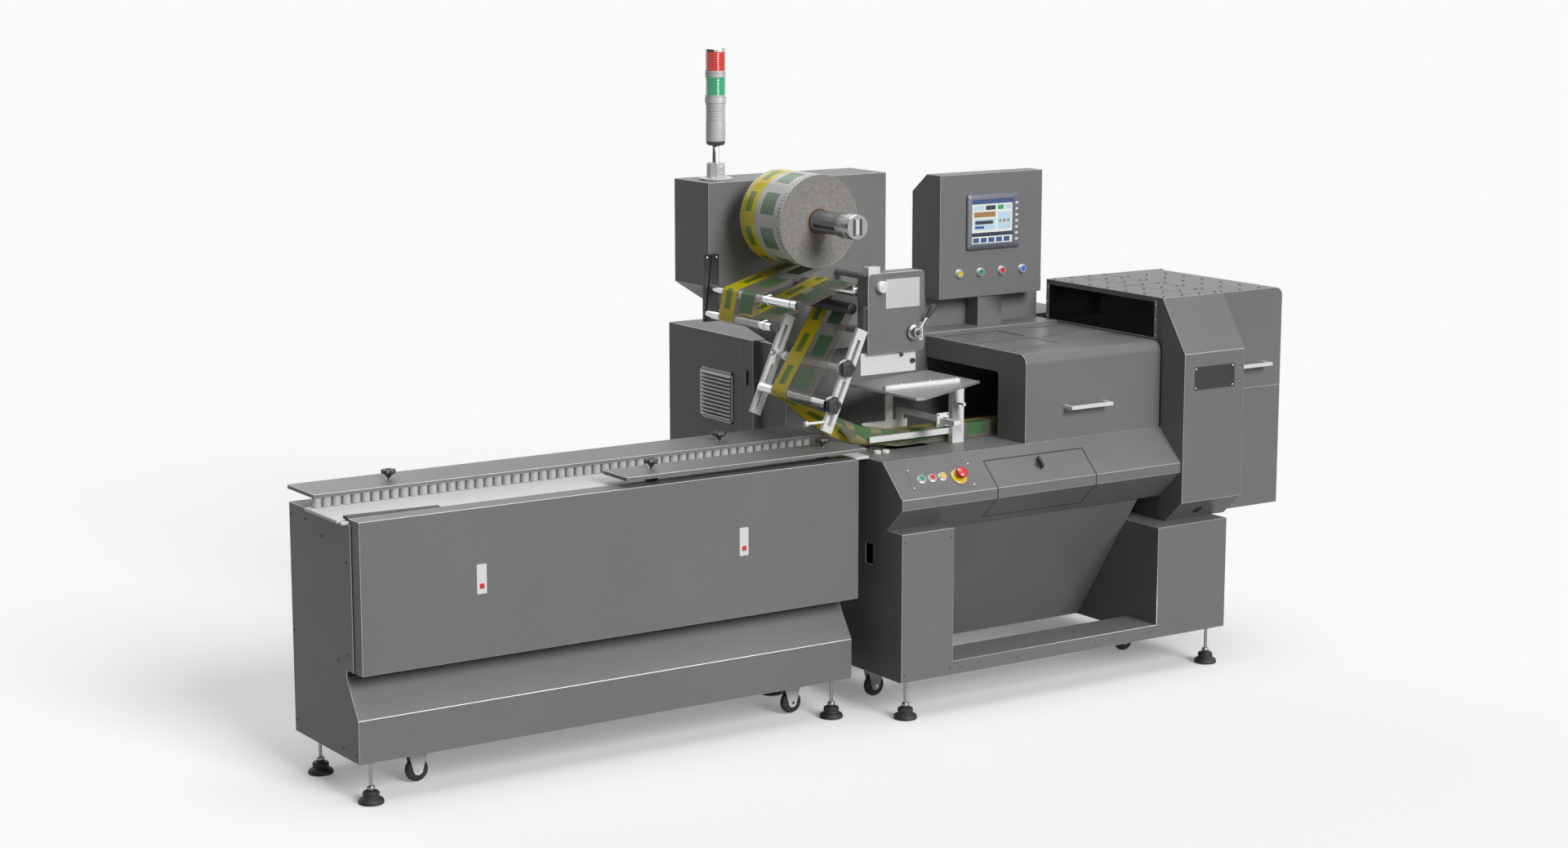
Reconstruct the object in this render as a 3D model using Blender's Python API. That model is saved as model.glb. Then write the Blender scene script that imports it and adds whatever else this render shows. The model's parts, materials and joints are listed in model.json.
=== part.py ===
"""Horizontal flow wrapper: an infeed table and a main machine that folds film round a product,
seals it lengthwise on the table and crosswise between two turning jaws.

Machine coordinates, in metres: X runs with the product, Y into the depth, Z up from the floor.
The empty "machine" moves them so that the object's own origin is the middle of its base.
"""

import math

import bmesh
import bpy
from mathutils import Matrix, Vector

# ---- clearances and sheet thicknesses
GAP = 0.0003  # between two pieces that touch
SHEET = 0.003  # covers and panels
PLATE = 0.004  # machine body

# ---- driving dimensions; the others follow from these
DECK_TOP = 0.850  # the table that the product slides on
FRAME_FOOT = 0.133  # height of every casing's lower edge
BODY_LEFT = 1.822  # where the main machine starts
BODY_LENGTH = 1.1827
INFEED_LENGTH = 1.768
LANE = 0.144  # middle of the product's path

# ---- infeed table
INFEED_RIGHT = BODY_LEFT - 0.094
INFEED_LEFT = INFEED_RIGHT - INFEED_LENGTH
INFEED_BACK = 0.403
INFEED_FRONT = -0.022
SKIRT_FRONT = -0.047
SKIRT_TOP = FRAME_FOOT + 0.133
RECESS = (0.026, SKIRT_TOP + 0.114)  # y and z where the slope over the skirt ends
COVER_X = (INFEED_LEFT + 0.004, INFEED_RIGHT + 0.005)
COVER_FRONT = -0.0757
COVER_Z = (RECESS[1] + 0.027, DECK_TOP + 0.018)
BED_X = (INFEED_LEFT - 0.020, BODY_LEFT - GAP)
BED_Y = (-0.009, 0.250)
BED_TOP = DECK_TOP + 0.010
BED_SLOT = (0.002, 0.024, INFEED_LEFT + 0.310)  # y, y and x where the slot in the bed ends
REAR_PLATE_X = (INFEED_LEFT - 0.002, BODY_LEFT - 0.045)
REAR_PLATE_Y = (0.214, 0.407)
FRONT_PLATE_X = (BODY_LEFT - 0.956, BODY_LEFT - 0.059)
FRONT_PLATE_Y = (-0.076, 0.074)
GUIDE_TOP = DECK_TOP + 0.052
GUIDE_LIP = 0.012
POST_WIDTH = 0.030
REAR_POST_Y = (0.290, 0.340)
FRONT_POST_Y = (0.005, 0.036)
ROLLER_PITCH = 0.032
ROLLER_RADIUS = 0.0125
ROLLER_LINE = 0.230
ROLLER_TOP = GUIDE_TOP - 0.013
RAIL_WIDTH = 0.015
REAR_KNOBS = ((INFEED_LEFT + 0.293, 0.317), (INFEED_RIGHT - 0.288, 0.300))
FRONT_KNOBS = ((FRONT_PLATE_X[0] + 0.144, 0.019), (FRONT_PLATE_X[1] - 0.107, 0.019))
CHAIN_X = (INFEED_LEFT + 0.100, INFEED_RIGHT - 0.068)
CHAIN_RADIUS = 0.045  # outside of the links round a sprocket
CHAIN_Z = DECK_TOP - CHAIN_RADIUS - 0.020
LINK_HEIGHT = 0.008
LINK_WIDTH = 0.020
SPROCKET_WIDTH = 0.012
DRIVE_RADIUS = 0.010
BEARING = (0.028, 0.015)  # radius and length

# ---- feet and wheels
FOOT_RADIUS = 0.039
STEM_RADIUS = 0.006
WHEEL_RADIUS = 0.0375
WHEEL_LIFT = 0.003
WHEEL_WIDTH = 0.024
FORK_WALL = 0.003
FORK_PLATE = (0.022, 0.030)  # half its length and width
CHANNEL = 0.028  # height of the cross channels that hold the feet
ARM_WIDTH = (0.044, 0.048)  # of the wheels' arms under the infeed and under the main machine
INFEED_WHEEL_Y = 0.107
MAIN_WHEEL_Y = 0.129

# ---- main machine
BODY_RIGHT = BODY_LEFT + BODY_LENGTH
BODY_X = (BODY_LEFT, BODY_RIGHT)
LEG_FRONT = -0.194
LEFT_LEG_X = (BODY_LEFT + 0.001, BODY_LEFT + 0.210)
RIGHT_LEG_X = (BODY_RIGHT - 0.0927, BODY_RIGHT + 0.2203)
CROSSBAR_TOP = FRAME_FOOT + 0.047
CROSSBAR_BACK = -0.035
CONSOLE_FOOT = DECK_TOP - 0.2425
CONSOLE = (
    (-0.083, DECK_TOP),
    (-0.195, DECK_TOP - 0.1095),
    (-0.195, DECK_TOP - 0.1434),
    (-0.088, CONSOLE_FOOT),
)
LEFT_LEG_TOP = CONSOLE_FOOT + 0.0205
LEG_CUTOUT = ((-0.030, CONSOLE_FOOT - 0.1075), (0.010, CONSOLE_FOOT - 0.0395))
BELLY_END = (0.232, FRAME_FOOT + 0.002)
BELLY_THICKNESS = 0.005
WALL_FRONT = 0.480
WALL_TOP = DECK_TOP + 0.307
WALL_RIGHT = BODY_RIGHT - 0.0047
UPPER_WALL = (BODY_LEFT + 0.428, WALL_RIGHT, WALL_FRONT + 0.122, WALL_TOP + 0.105)
CABINET_X = (BODY_LEFT - 0.022, RIGHT_LEG_X[1] - GAP)
CABINET_Y = (0.650, 1.200)
CABINET_TOP = WALL_TOP + 0.003
CABINET_DOOR_X = (CABINET_X[0] + 0.050, CABINET_X[0] + 0.680)
CABINET_DOOR_Z = (FRAME_FOOT + 0.087, CABINET_TOP - 0.050)
SLOT_X = (BODY_LEFT + 0.108, BODY_LEFT + 0.318)
SLOT_Y = (LANE - 0.059, LANE + 0.059)
FIN_WHEEL_X = BODY_LEFT + 0.164
FIN_WHEEL_RADIUS = 0.030
FIN_SHAFT_RADIUS = 0.008
BEAM_DOOR_X = (BODY_LEFT + 0.388, BODY_LEFT + 0.808)
BEAM_DOOR_Z = (CONSOLE_FOOT + 0.0225, DECK_TOP - 0.032)
LATCH = ((BEAM_DOOR_X[0] + BEAM_DOOR_X[1]) / 2, 0.087)  # x, and distance down the slope from the table's edge
LATCH_SPINDLE = 0.0068
BUTTON_RADIUS = 0.0099
BUTTON_CLEARANCE = 0.0006
CONSOLE_BUTTONS = (
    ("start_button", BODY_LEFT + 0.111, "green"),
    ("stop_button", BODY_LEFT + 0.154, "red"),
    ("reset_button", BODY_LEFT + 0.196, "yellow"),
)
CONSOLE_ROW = 0.086  # distance down the slope
ESTOP = (BODY_LEFT + 0.260, 0.093)
ESTOP_STEM = 0.011

# ---- hood over the fin seal
HOOD_X = (BODY_RIGHT - 0.5947, BODY_RIGHT - 0.0047)
HOOD_FRONT = -0.083
HOOD_TOP = DECK_TOP + 0.300
HOOD_ROUND = 0.035
TUNNEL_Y = LANE - 0.076
TUNNEL_TOP = DECK_TOP + 0.225
HANDLE_REACH = 0.045
HANDLE_BAR = 0.015
HANDLE_LEG = 0.012
HANDLE_HEIGHT = 0.012
HOOD_HANDLE = (HOOD_X[0] + 0.255, DECK_TOP + 0.105, 0.180)  # middle x, z and width

# ---- end seal
HOUSING_X = (BODY_RIGHT + 0.0053, BODY_RIGHT + 0.5583)
HOUSING_BACK = 0.559
HOUSING_FOOT = DECK_TOP - 0.328
RIGHT_LEG_TOP = HOUSING_FOOT - GAP
HOUSING_SPLIT = DECK_TOP + 0.100
HOUSING_TOP = DECK_TOP + 0.448
HOUSING_ROUND = 0.030
COLUMN_X = (BODY_RIGHT + GAP, HOUSING_X[0] + 0.267)
COVER_LEFT = COLUMN_X[1] + 2 * GAP  # the lifting cover clears the column beside it
COLUMN = (
    (HOOD_FRONT, HOUSING_TOP),
    (-0.2045, HOUSING_TOP - 0.181),
    (-0.2045, HOUSING_FOOT + 0.077),
    (-0.1203, HOUSING_FOOT),
)
WINDOW_Y = (-0.040, 0.545)
WINDOW_Z = (HOUSING_TOP - 0.143, HOUSING_TOP - 0.018)
PANE_MARGIN = 0.008
PASSAGE_Y = (LANE - 0.084, LANE + 0.156)
PASSAGE_Z = (DECK_TOP - 0.010, DECK_TOP + 0.150)
COVER_HANDLE = (HOUSING_X[0] + 0.390, DECK_TOP + 0.178, 0.170)
JAW_X = HOUSING_X[0] + 0.280
SEAL_HEIGHT = DECK_TOP + 0.035
JAW_REACH = 0.0752
JAW_HUB = 0.028
JAW_Y = (0.025, 0.270)
CHEEK = (0.140, 0.015, SEAL_HEIGHT + 0.125)  # length, thickness and top of the plates that hold the jaws

# ---- operator panel
BOX_X = (BODY_RIGHT - 0.5067, BODY_RIGHT - 0.0527)
BOX_Y = (0.520, 0.685)
BOX_Z = (WALL_TOP + 0.106, WALL_TOP + 0.542)
BOX_CHAMFER = (0.085, 0.065)
POST_X = (BOX_X[0] + 0.179, BOX_X[0] + 0.284)
POST_Y = (0.530, 0.599)
SCREEN_X = (BOX_X[0] + 0.114, BOX_X[0] + 0.348)
SCREEN_Z = (BOX_Z[0] + 0.167, BOX_Z[0] + 0.364)
SCREEN_RIM = 0.012
BEZEL_DEPTH = 0.009
PANEL_BUTTONS = (
    ("yellow_button", BOX_X[0] + 0.083),
    ("green_button", BOX_X[0] + 0.177),
    ("red_button", BOX_X[0] + 0.272),
    ("blue_button", BOX_X[0] + 0.365),
)
PANEL_BUTTON_Z = BOX_Z[0] + 0.087

# ---- film unit
FILM_BOX_X = (BODY_LEFT - 0.384, BODY_LEFT + 0.325)
FILM_BOX_Y = (0.358, 0.568)
FILM_BOX_Z = (DECK_TOP + 0.550, DECK_TOP + 0.891)
NECK_X = BODY_LEFT + 0.001
REEL = (BODY_LEFT - 0.174, DECK_TOP + 0.783)  # x and z of the reel's axis
REEL_RADIUS = 0.150
CORE_RADIUS = 0.038
SHAFT_RADIUS = 0.036
FLANGE_RADIUS = 0.052
WEB_Y = (0.030, 0.265)
SHAFT_TIP = -0.185
TIP_RADIUS = 0.041
UPPER_BAR = (BODY_LEFT - 0.377, DECK_TOP + 0.548, -0.170)  # x, z and the y of its front end
LOWER_BAR = (BODY_LEFT - 0.392, DECK_TOP + 0.468, -0.050)
BAR_RADIUS = 0.015
FEED_ROLLER = (BODY_LEFT - 0.032, DECK_TOP + 0.552, 0.020)
NIP_ROLLER = (BODY_LEFT - 0.050, DECK_TOP + 0.493, 0.018)
CROSS_ROLLER = (BODY_LEFT - 0.187, DECK_TOP + 0.206, 0.018)
JOURNAL_RADIUS = 0.010
BRACKET = (BODY_LEFT - 0.408, BODY_LEFT - 0.352, DECK_TOP + 0.440, DECK_TOP + 0.660)
BRACKET_THICKNESS = 0.012
GEARBOX_X = (BODY_LEFT - 0.037, BODY_LEFT + 0.188)
GEARBOX_Y = (-0.050, 0.010)
GEARBOX_Z = (DECK_TOP + 0.350, DECK_TOP + 0.612)
GEARBOX_ROUND = 0.014
TIE_BARS = ((BODY_LEFT + 0.128, DECK_TOP + 0.570), (BODY_LEFT + 0.128, DECK_TOP + 0.385))
TIE_RADIUS = 0.014
HANGER = ((BODY_LEFT - 0.052, BODY_LEFT + 0.168), (-0.032, -0.022), 0.070)  # x, y and reach below the gearbox
GEARBOX_KNOB = (BODY_LEFT + 0.012, DECK_TOP + 0.568)
LEVER_HUB = (BODY_LEFT + 0.142, DECK_TOP + 0.412)
LEVER_END = (BODY_LEFT + 0.212, DECK_TOP + 0.499)
FRAME_PIVOT = (BODY_LEFT - 0.072, DECK_TOP + 0.437)
FRAME_END = (BODY_LEFT - 0.212, DECK_TOP + 0.118)
FRAME_WIDTH = 0.040
FRAME_SLOTS = ((0.10, 0.34), (0.50, 0.68), (0.78, 0.94))  # shares of the bars' length
SLOT_WIDTH = 0.012
FRONT_BAR_Y = (-0.072, -0.058)
REAR_BAR_Y = (FILM_BOX_Y[0] - 0.0143, FILM_BOX_Y[0] - GAP)
UPPER_TUBE = (BODY_LEFT - 0.120, DECK_TOP + 0.310, 0.011)
FORMING_KNOBS = ((BODY_LEFT - 0.144, DECK_TOP + 0.320), (BODY_LEFT - 0.198, DECK_TOP + 0.206))
FILM_THICKNESS = 0.001
FILM_CLEARANCE = 0.002  # between the film's middle and each roller
TUBE_HALF_WIDTH = 0.034
TUBE_TOP = DECK_TOP + 0.052
TUBE_FOOT = DECK_TOP + 0.002
FOLD_END = (BODY_LEFT + 0.058, DECK_TOP + 0.082, 0.8)  # x, z and the share of folding near the table
TUBE_SETTLE = ((BODY_LEFT + 0.128, DECK_TOP + 0.066, 0.9), (BODY_LEFT + 0.198, TUBE_TOP, 1.0))
TUBE_END = JAW_X - 0.110
PLOUGH_X = BODY_LEFT + 0.152
PLOUGH = (
    (PLOUGH_X, 0.320),
    (PLOUGH_X + 0.012, -0.041),
    (PLOUGH_X + 0.044, -0.047),
    (PLOUGH_X + 0.405, 0.128),
    (PLOUGH_X + 0.398, 0.423),
)
PLOUGH_Z = (DECK_TOP + 0.180, DECK_TOP + 0.188)
PLOUGH_POST_X = (PLOUGH_X + 0.241, PLOUGH_X + 0.288)
PLOUGH_POST_Y = (0.062, 0.086)
RULER_X = (BODY_LEFT + 0.276, BODY_LEFT + 0.302)
RULER_Z = (DECK_TOP + 0.095, DECK_TOP + 0.110)

# ---- signal tower
TOWER = (FILM_BOX_X[0] + 0.087, 0.450)
TOWER_FOOT = FILM_BOX_Z[1] + GAP
LENS_RADIUS = 0.0335
GREEN_Z = (TOWER_FOOT + 0.2687, TOWER_FOOT + 0.3473)
RED_Z = (GREEN_Z[1] + 0.0004, TOWER_FOOT + 0.4297)

COLOURS = {
    "steel": ((0.24, 0.24, 0.24), 0.42, 0.9),
    "bright": ((0.85, 0.85, 0.85), 0.25, 0.6),
    "white": ((0.82, 0.82, 0.80), 0.45, 0.0),
    "black": ((0.03, 0.03, 0.03), 0.5, 0.0),
    "rubber": ((0.02, 0.02, 0.02), 0.8, 0.0),
    "chrome": ((0.75, 0.75, 0.76), 0.15, 1.0),
    "roller": ((0.55, 0.55, 0.55), 0.4, 0.2),
    "red": ((0.75, 0.02, 0.02), 0.35, 0.0),
    "green": ((0.02, 0.45, 0.20), 0.35, 0.0),
    "yellow": ((0.85, 0.65, 0.03), 0.35, 0.0),
    "blue": ((0.05, 0.25, 0.75), 0.35, 0.0),
    "glass": ((0.05, 0.05, 0.05), 0.1, 0.0),
    "screen": ((0.12, 0.16, 0.22), 0.2, 0.0),
    "film": ((0.80, 0.78, 0.55), 0.3, 0.0),
    "paper": ((0.70, 0.70, 0.68), 0.7, 0.0),
    "cast_iron": ((0.10, 0.10, 0.10), 0.6, 0.6),
}


def clear_scene():
    for item in list(bpy.data.objects):
        bpy.data.objects.remove(item, do_unlink=True)


def make_material(name):
    colour, roughness, metallic = COLOURS[name]
    material = bpy.data.materials.get(name) or bpy.data.materials.new(name)
    material.use_nodes = True
    shader = material.node_tree.nodes["Principled BSDF"]
    shader.inputs["Base Color"].default_value = (*colour, 1.0)
    shader.inputs["Roughness"].default_value = roughness
    shader.inputs["Metallic"].default_value = metallic
    return material


# ------------------------------------------------------------------ shapes, added to a bmesh


def add_box(bm, low, high):
    """A box between two corners, in machine coordinates."""
    corner = Vector(low)
    size = Vector(high) - corner
    place = Matrix.Translation(corner + size / 2) @ Matrix.Diagonal((*size, 1.0))
    bmesh.ops.create_cube(bm, size=1.0, matrix=place)


def add_prism(bm, profile, axis, start, end):
    """A closed outline of two-coordinate points, extruded along the axis that it leaves out."""
    index = "xyz".index(axis)

    def point(pair, along):
        values = list(pair)
        values.insert(index, along)
        return bm.verts.new(values)

    first = [point(pair, start) for pair in profile]
    last = [point(pair, end) for pair in profile]
    made = [bm.faces.new(first), bm.faces.new(last)]
    for here in range(len(profile)):
        after = (here + 1) % len(profile)
        made.append(bm.faces.new((first[here], first[after], last[after], last[here])))
    bmesh.ops.recalc_face_normals(bm, faces=made)


def add_turned(bm, outline, centre, axis, steps=16):
    """A solid turned round an axis through centre: outline lists (radius, distance along the axis)."""
    index = "xyz".index(axis)
    across = [i for i in range(3) if i != index]
    rings = []
    for radius, along in outline:
        ring = []
        for step in range(steps if radius > 0 else 1):
            angle = 2 * math.pi * (step + 0.5) / steps
            spot = [0.0, 0.0, 0.0]
            spot[index] = centre[index] + along
            spot[across[0]] = centre[across[0]] + radius * math.cos(angle)
            spot[across[1]] = centre[across[1]] + radius * math.sin(angle)
            ring.append(bm.verts.new(spot))
        rings.append(ring)
    made = []
    for below, above in zip(rings, rings[1:]):
        for step in range(steps):
            after = (step + 1) % steps
            pairs = ((below, step), (below, after), (above, after), (above, step))
            corners = [ring[turn % len(ring)] for ring, turn in pairs]
            made.append(bm.faces.new(list(dict.fromkeys(corners))))
    for ring in (rings[0], rings[-1]):
        if len(ring) > 1:
            made.append(bm.faces.new(ring))
    bmesh.ops.recalc_face_normals(bm, faces=made)


def rod(bm, radius, start, end, centre, axis, steps=16):
    """A plain cylinder: start and end are places on the axis, centre gives the other two coordinates."""
    spot = list(centre)
    spot.insert("xyz".index(axis), 0.0)
    add_turned(bm, ((radius, start), (radius, end)), spot, axis, steps)


def arc(centre, radius, first, last, steps):
    """Points on a circle, from one angle to the other, in degrees."""
    angles = [math.radians(first + (last - first) * i / steps) for i in range(steps + 1)]
    return [(centre[0] + radius * math.cos(a), centre[1] + radius * math.sin(a)) for a in angles]


def inset(profile, distance):
    """The outline moved inwards, each side by the same distance."""
    count = len(profile)
    after = [*profile[1:], profile[0]]
    area = sum(x0 * y1 - x1 * y0 for (x0, y0), (x1, y1) in zip(profile, after))
    turn = 1 if area > 0 else -1
    moved = []
    for i in range(count):
        before, here, after = (Vector(profile[(i + k) % count]) for k in (-1, 0, 1))
        into = (here - before).normalized()
        out = (after - here).normalized()
        normal_in = Vector((-into.y, into.x)) * turn
        normal_out = Vector((-out.y, out.x)) * turn
        bisector = normal_in + normal_out
        moved.append(tuple(here + bisector * (distance / (1 + normal_in.dot(normal_out)))))
    return moved


# ------------------------------------------------------------------ objects


def make(name, colour, build, origin=(0.0, 0.0, 0.0), helper=False):
    """One object from a function that fills a bmesh; its origin goes where its joint needs it."""
    bm = bmesh.new()
    build(bm)
    bmesh.ops.translate(bm, verts=bm.verts, vec=-Vector(origin))
    mesh = bpy.data.meshes.new(name)
    bm.to_mesh(mesh)
    bm.free()
    mesh.materials.append(make_material(colour))
    mesh.shade_smooth()
    mesh.set_sharp_from_angle(angle=math.radians(30))
    item = bpy.data.objects.new(name, mesh)
    bpy.context.scene.collection.objects.link(item)
    item.parent = MACHINE
    item.location = origin
    if helper:
        item.hide_render = True
        item.display_type = "WIRE"
    return item


def combine(item, operation, build):
    """Adds or cuts a helper shape with an exact Boolean."""
    helper = make(f"{item.name}_{operation.lower()}_{len(item.modifiers)}", "black", build, helper=True)
    modifier = item.modifiers.new(f"{operation.lower()} {len(item.modifiers)}", "BOOLEAN")
    modifier.object = helper
    modifier.operation = operation
    modifier.solver = "EXACT"


def cut(item, build):
    combine(item, "DIFFERENCE", build)


def join(item, build):
    combine(item, "UNION", build)


def boxes(*pairs):
    def build(bm):
        for low, high in pairs:
            add_box(bm, low, high)

    return build


def block(low, high):
    return boxes((low, high))


def prism(profile, axis, start, end):
    return lambda bm: add_prism(bm, profile, axis, start, end)


def rods(*each):
    def build(bm):
        for one in each:
            rod(bm, *one)

    return build


# ------------------------------------------------------------------ infeed table


def infeed_frame():
    left, right = INFEED_LEFT, INFEED_RIGHT
    outer = [
        (SKIRT_FRONT, FRAME_FOOT),
        (SKIRT_FRONT, SKIRT_TOP),
        RECESS,
        (RECESS[0], COVER_Z[0]),
        (INFEED_FRONT, COVER_Z[0]),
        (INFEED_FRONT, DECK_TOP),
        (INFEED_BACK, DECK_TOP),
        (INFEED_BACK, FRAME_FOOT),
    ]
    inner = [
        (SKIRT_FRONT + SHEET, 0.0),
        (SKIRT_FRONT + SHEET, SKIRT_TOP - SHEET / 2),
        (RECESS[0] + SHEET, RECESS[1]),
        (RECESS[0] + SHEET, RECESS[1] + SHEET),
        (COVER_FRONT, RECESS[1] + SHEET),
        (COVER_FRONT, DECK_TOP - SHEET),
        (INFEED_BACK - SHEET, DECK_TOP - SHEET),
        (INFEED_BACK - SHEET, 0.0),
    ]
    frame = make("infeed_frame", "steel", prism(outer, "x", left, right))
    cut(frame, prism(inner, "x", left + SHEET, right - SHEET))


def infeed_front_cover():
    left, right = COVER_X
    low, high = COVER_Z
    back = INFEED_FRONT - GAP
    shell = block((left, COVER_FRONT, low), (right, back, high))
    cover = make("infeed_front_cover", "steel", shell, (left, back, low))
    inside = ((left + SHEET, COVER_FRONT + SHEET, low + SHEET), (right - SHEET, back + SHEET, high - SHEET))
    cut(cover, boxes(inside))
    join(cover, block((left, back - SHEET, high - SHEET), (right, 0.0, high)))


def infeed_bed():
    slab = block((BED_X[0], BED_Y[0], DECK_TOP + GAP), (BED_X[1], BED_Y[1], BED_TOP))
    bed = make("infeed_bed", "white", slab)
    front, back, end = BED_SLOT
    cut(bed, block((BED_X[0] - SHEET, front, DECK_TOP - SHEET), (end, back, BED_TOP + SHEET)))


def guide_plate(name, span, depth, knobs, post_y, post_foot):
    """A folded plate on posts, with a clamping knob over each post."""
    low = GUIDE_TOP - SHEET
    profile = [
        (depth[0], GUIDE_TOP),
        (depth[0], GUIDE_TOP - GUIDE_LIP),
        (depth[0] + SHEET, GUIDE_TOP - GUIDE_LIP),
        (depth[0] + SHEET, low),
        (depth[1] - SHEET, low),
        (depth[1] - SHEET, GUIDE_TOP - GUIDE_LIP),
        (depth[1], GUIDE_TOP - GUIDE_LIP),
        (depth[1], GUIDE_TOP),
    ]
    plate = make(name, "steel", prism(profile, "x", *span))
    post = POST_WIDTH / 2
    near, far = post_y
    join(plate, boxes(*(((x - post, near, post_foot), (x + post, far, low + 0.001)) for x, _ in knobs)))

    def knob_heads(bm):
        outline = ((0.006, -0.001), (0.006, 0.012), (0.022, 0.014), (0.0225, 0.026), (0.010, 0.030))
        for x, y in knobs:
            add_turned(bm, outline, (x, y, GUIDE_TOP), "z", 10)

    join(plate, knob_heads)


def guide_roller_rail():
    low, high = ROLLER_TOP - 0.001, GUIDE_TOP - SHEET - GAP
    half = RAIL_WIDTH / 2
    left, right = REAR_PLATE_X[0] + 0.002, REAR_PLATE_X[1] - 0.002
    strip = block((left, ROLLER_LINE - half, low), (right, ROLLER_LINE + half, high))
    rail = make("guide_roller_rail", "roller", strip)
    count = int((right - left - 2 * ROLLER_RADIUS) / ROLLER_PITCH) + 1

    def rollers(bm):
        for number in range(count):
            spot = (left + ROLLER_RADIUS + number * ROLLER_PITCH, ROLLER_LINE)
            rod(bm, ROLLER_RADIUS, BED_TOP + 2 * GAP, ROLLER_TOP, spot, "z", 8)

    join(rail, rollers)


def racetrack(radius):
    left, right = CHAIN_X
    return arc((right, CHAIN_Z), radius, -90, 90, 8) + arc((left, CHAIN_Z), radius, 90, 270, 8)


def infeed_drive():
    half = LINK_WIDTH / 2
    chain = make("infeed_chain", "cast_iron", prism(racetrack(CHAIN_RADIUS), "y", LANE - half, LANE + half))
    cut(chain, prism(racetrack(CHAIN_RADIUS - LINK_HEIGHT), "y", LANE - 2 * half, LANE + 2 * half))
    rim = CHAIN_RADIUS - LINK_HEIGHT - 0.0015
    back = INFEED_BACK - SHEET - GAP
    half = SPROCKET_WIDTH / 2
    boss, length = BEARING
    outline = (
        (DRIVE_RADIUS, LANE - 0.030),
        (DRIVE_RADIUS, LANE - half - 0.001),
        (rim, LANE - half),
        (rim, LANE + half),
        (DRIVE_RADIUS, LANE + half + 0.001),
        (DRIVE_RADIUS, back - length),
        (boss, back - length),
        (boss, back),
    )
    for name, x in (("infeed_drive_shaft", CHAIN_X[1]), ("infeed_tail_shaft", CHAIN_X[0])):
        spot = (x, 0.0, CHAIN_Z)
        make(name, "cast_iron", lambda bm: add_turned(bm, outline, spot, "y", 12), spot)


# ------------------------------------------------------------------ feet and wheels

FOOT_OUTLINE = (
    (FOOT_RADIUS, 0.0),
    (FOOT_RADIUS, 0.008),
    (0.034, 0.016),
    (0.026, 0.019),
    (0.024, 0.034),
    (0.012, 0.040),
    (0.012, 0.054),
    (STEM_RADIUS, 0.055),
    (STEM_RADIUS, FRAME_FOOT + 0.005),
)


def underframe(name, channel, feet, caster, arm):
    """A cross channel that holds two screw feet, and an arm with the fork of one wheel."""
    top = FRAME_FOOT + CHANNEL
    (left, right), (front, back) = channel
    base = make(name, "bright", block((left, front, FRAME_FOOT), (right, back, top)))

    def foot_shapes(bm):
        for x, y in feet:
            add_turned(bm, FOOT_OUTLINE, (x, y, 0.0), "z", 14)

    join(base, foot_shapes)
    x, y = caster
    half = WHEEL_WIDTH / 2 + GAP
    axle = WHEEL_LIFT + WHEEL_RADIUS
    crown = axle + WHEEL_RADIUS + 0.006
    join(base, boxes(arm))
    long, wide = FORK_PLATE
    join(base, block((x - long, y - wide, crown), (x + long, y + wide, FRAME_FOOT + SHEET)))
    low, high = axle - 0.012, crown + 0.002
    cheek = ((x - 0.014, low), (x + 0.014, low), (x + 0.020, high), (x - 0.020, high))
    cheeks = ((y - half - FORK_WALL, y - half), (y + half, y + half + FORK_WALL))

    def fork(bm):
        for near, far in cheeks:
            add_prism(bm, cheek, "y", near, far)

    join(base, fork)
    outline = (
        (0.014, -WHEEL_WIDTH / 2),
        (0.030, -WHEEL_WIDTH / 2 + 0.002),
        (WHEEL_RADIUS, -WHEEL_WIDTH / 2 + 0.004),
        (WHEEL_RADIUS, WHEEL_WIDTH / 2 - 0.004),
        (0.030, WHEEL_WIDTH / 2 - 0.002),
        (0.014, WHEEL_WIDTH / 2),
    )
    wheel = name.replace("underframe", "wheel")
    make(wheel, "rubber", lambda bm: add_turned(bm, outline, (x, y, axle), "y", 20), (x, y, axle))


def arm(span, y, width):
    """The arm that reaches from a cross channel to a wheel's fork."""
    return (span[0], y - width / 2, FRAME_FOOT), (span[1], y + width / 2, FRAME_FOOT + CHANNEL)


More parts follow.
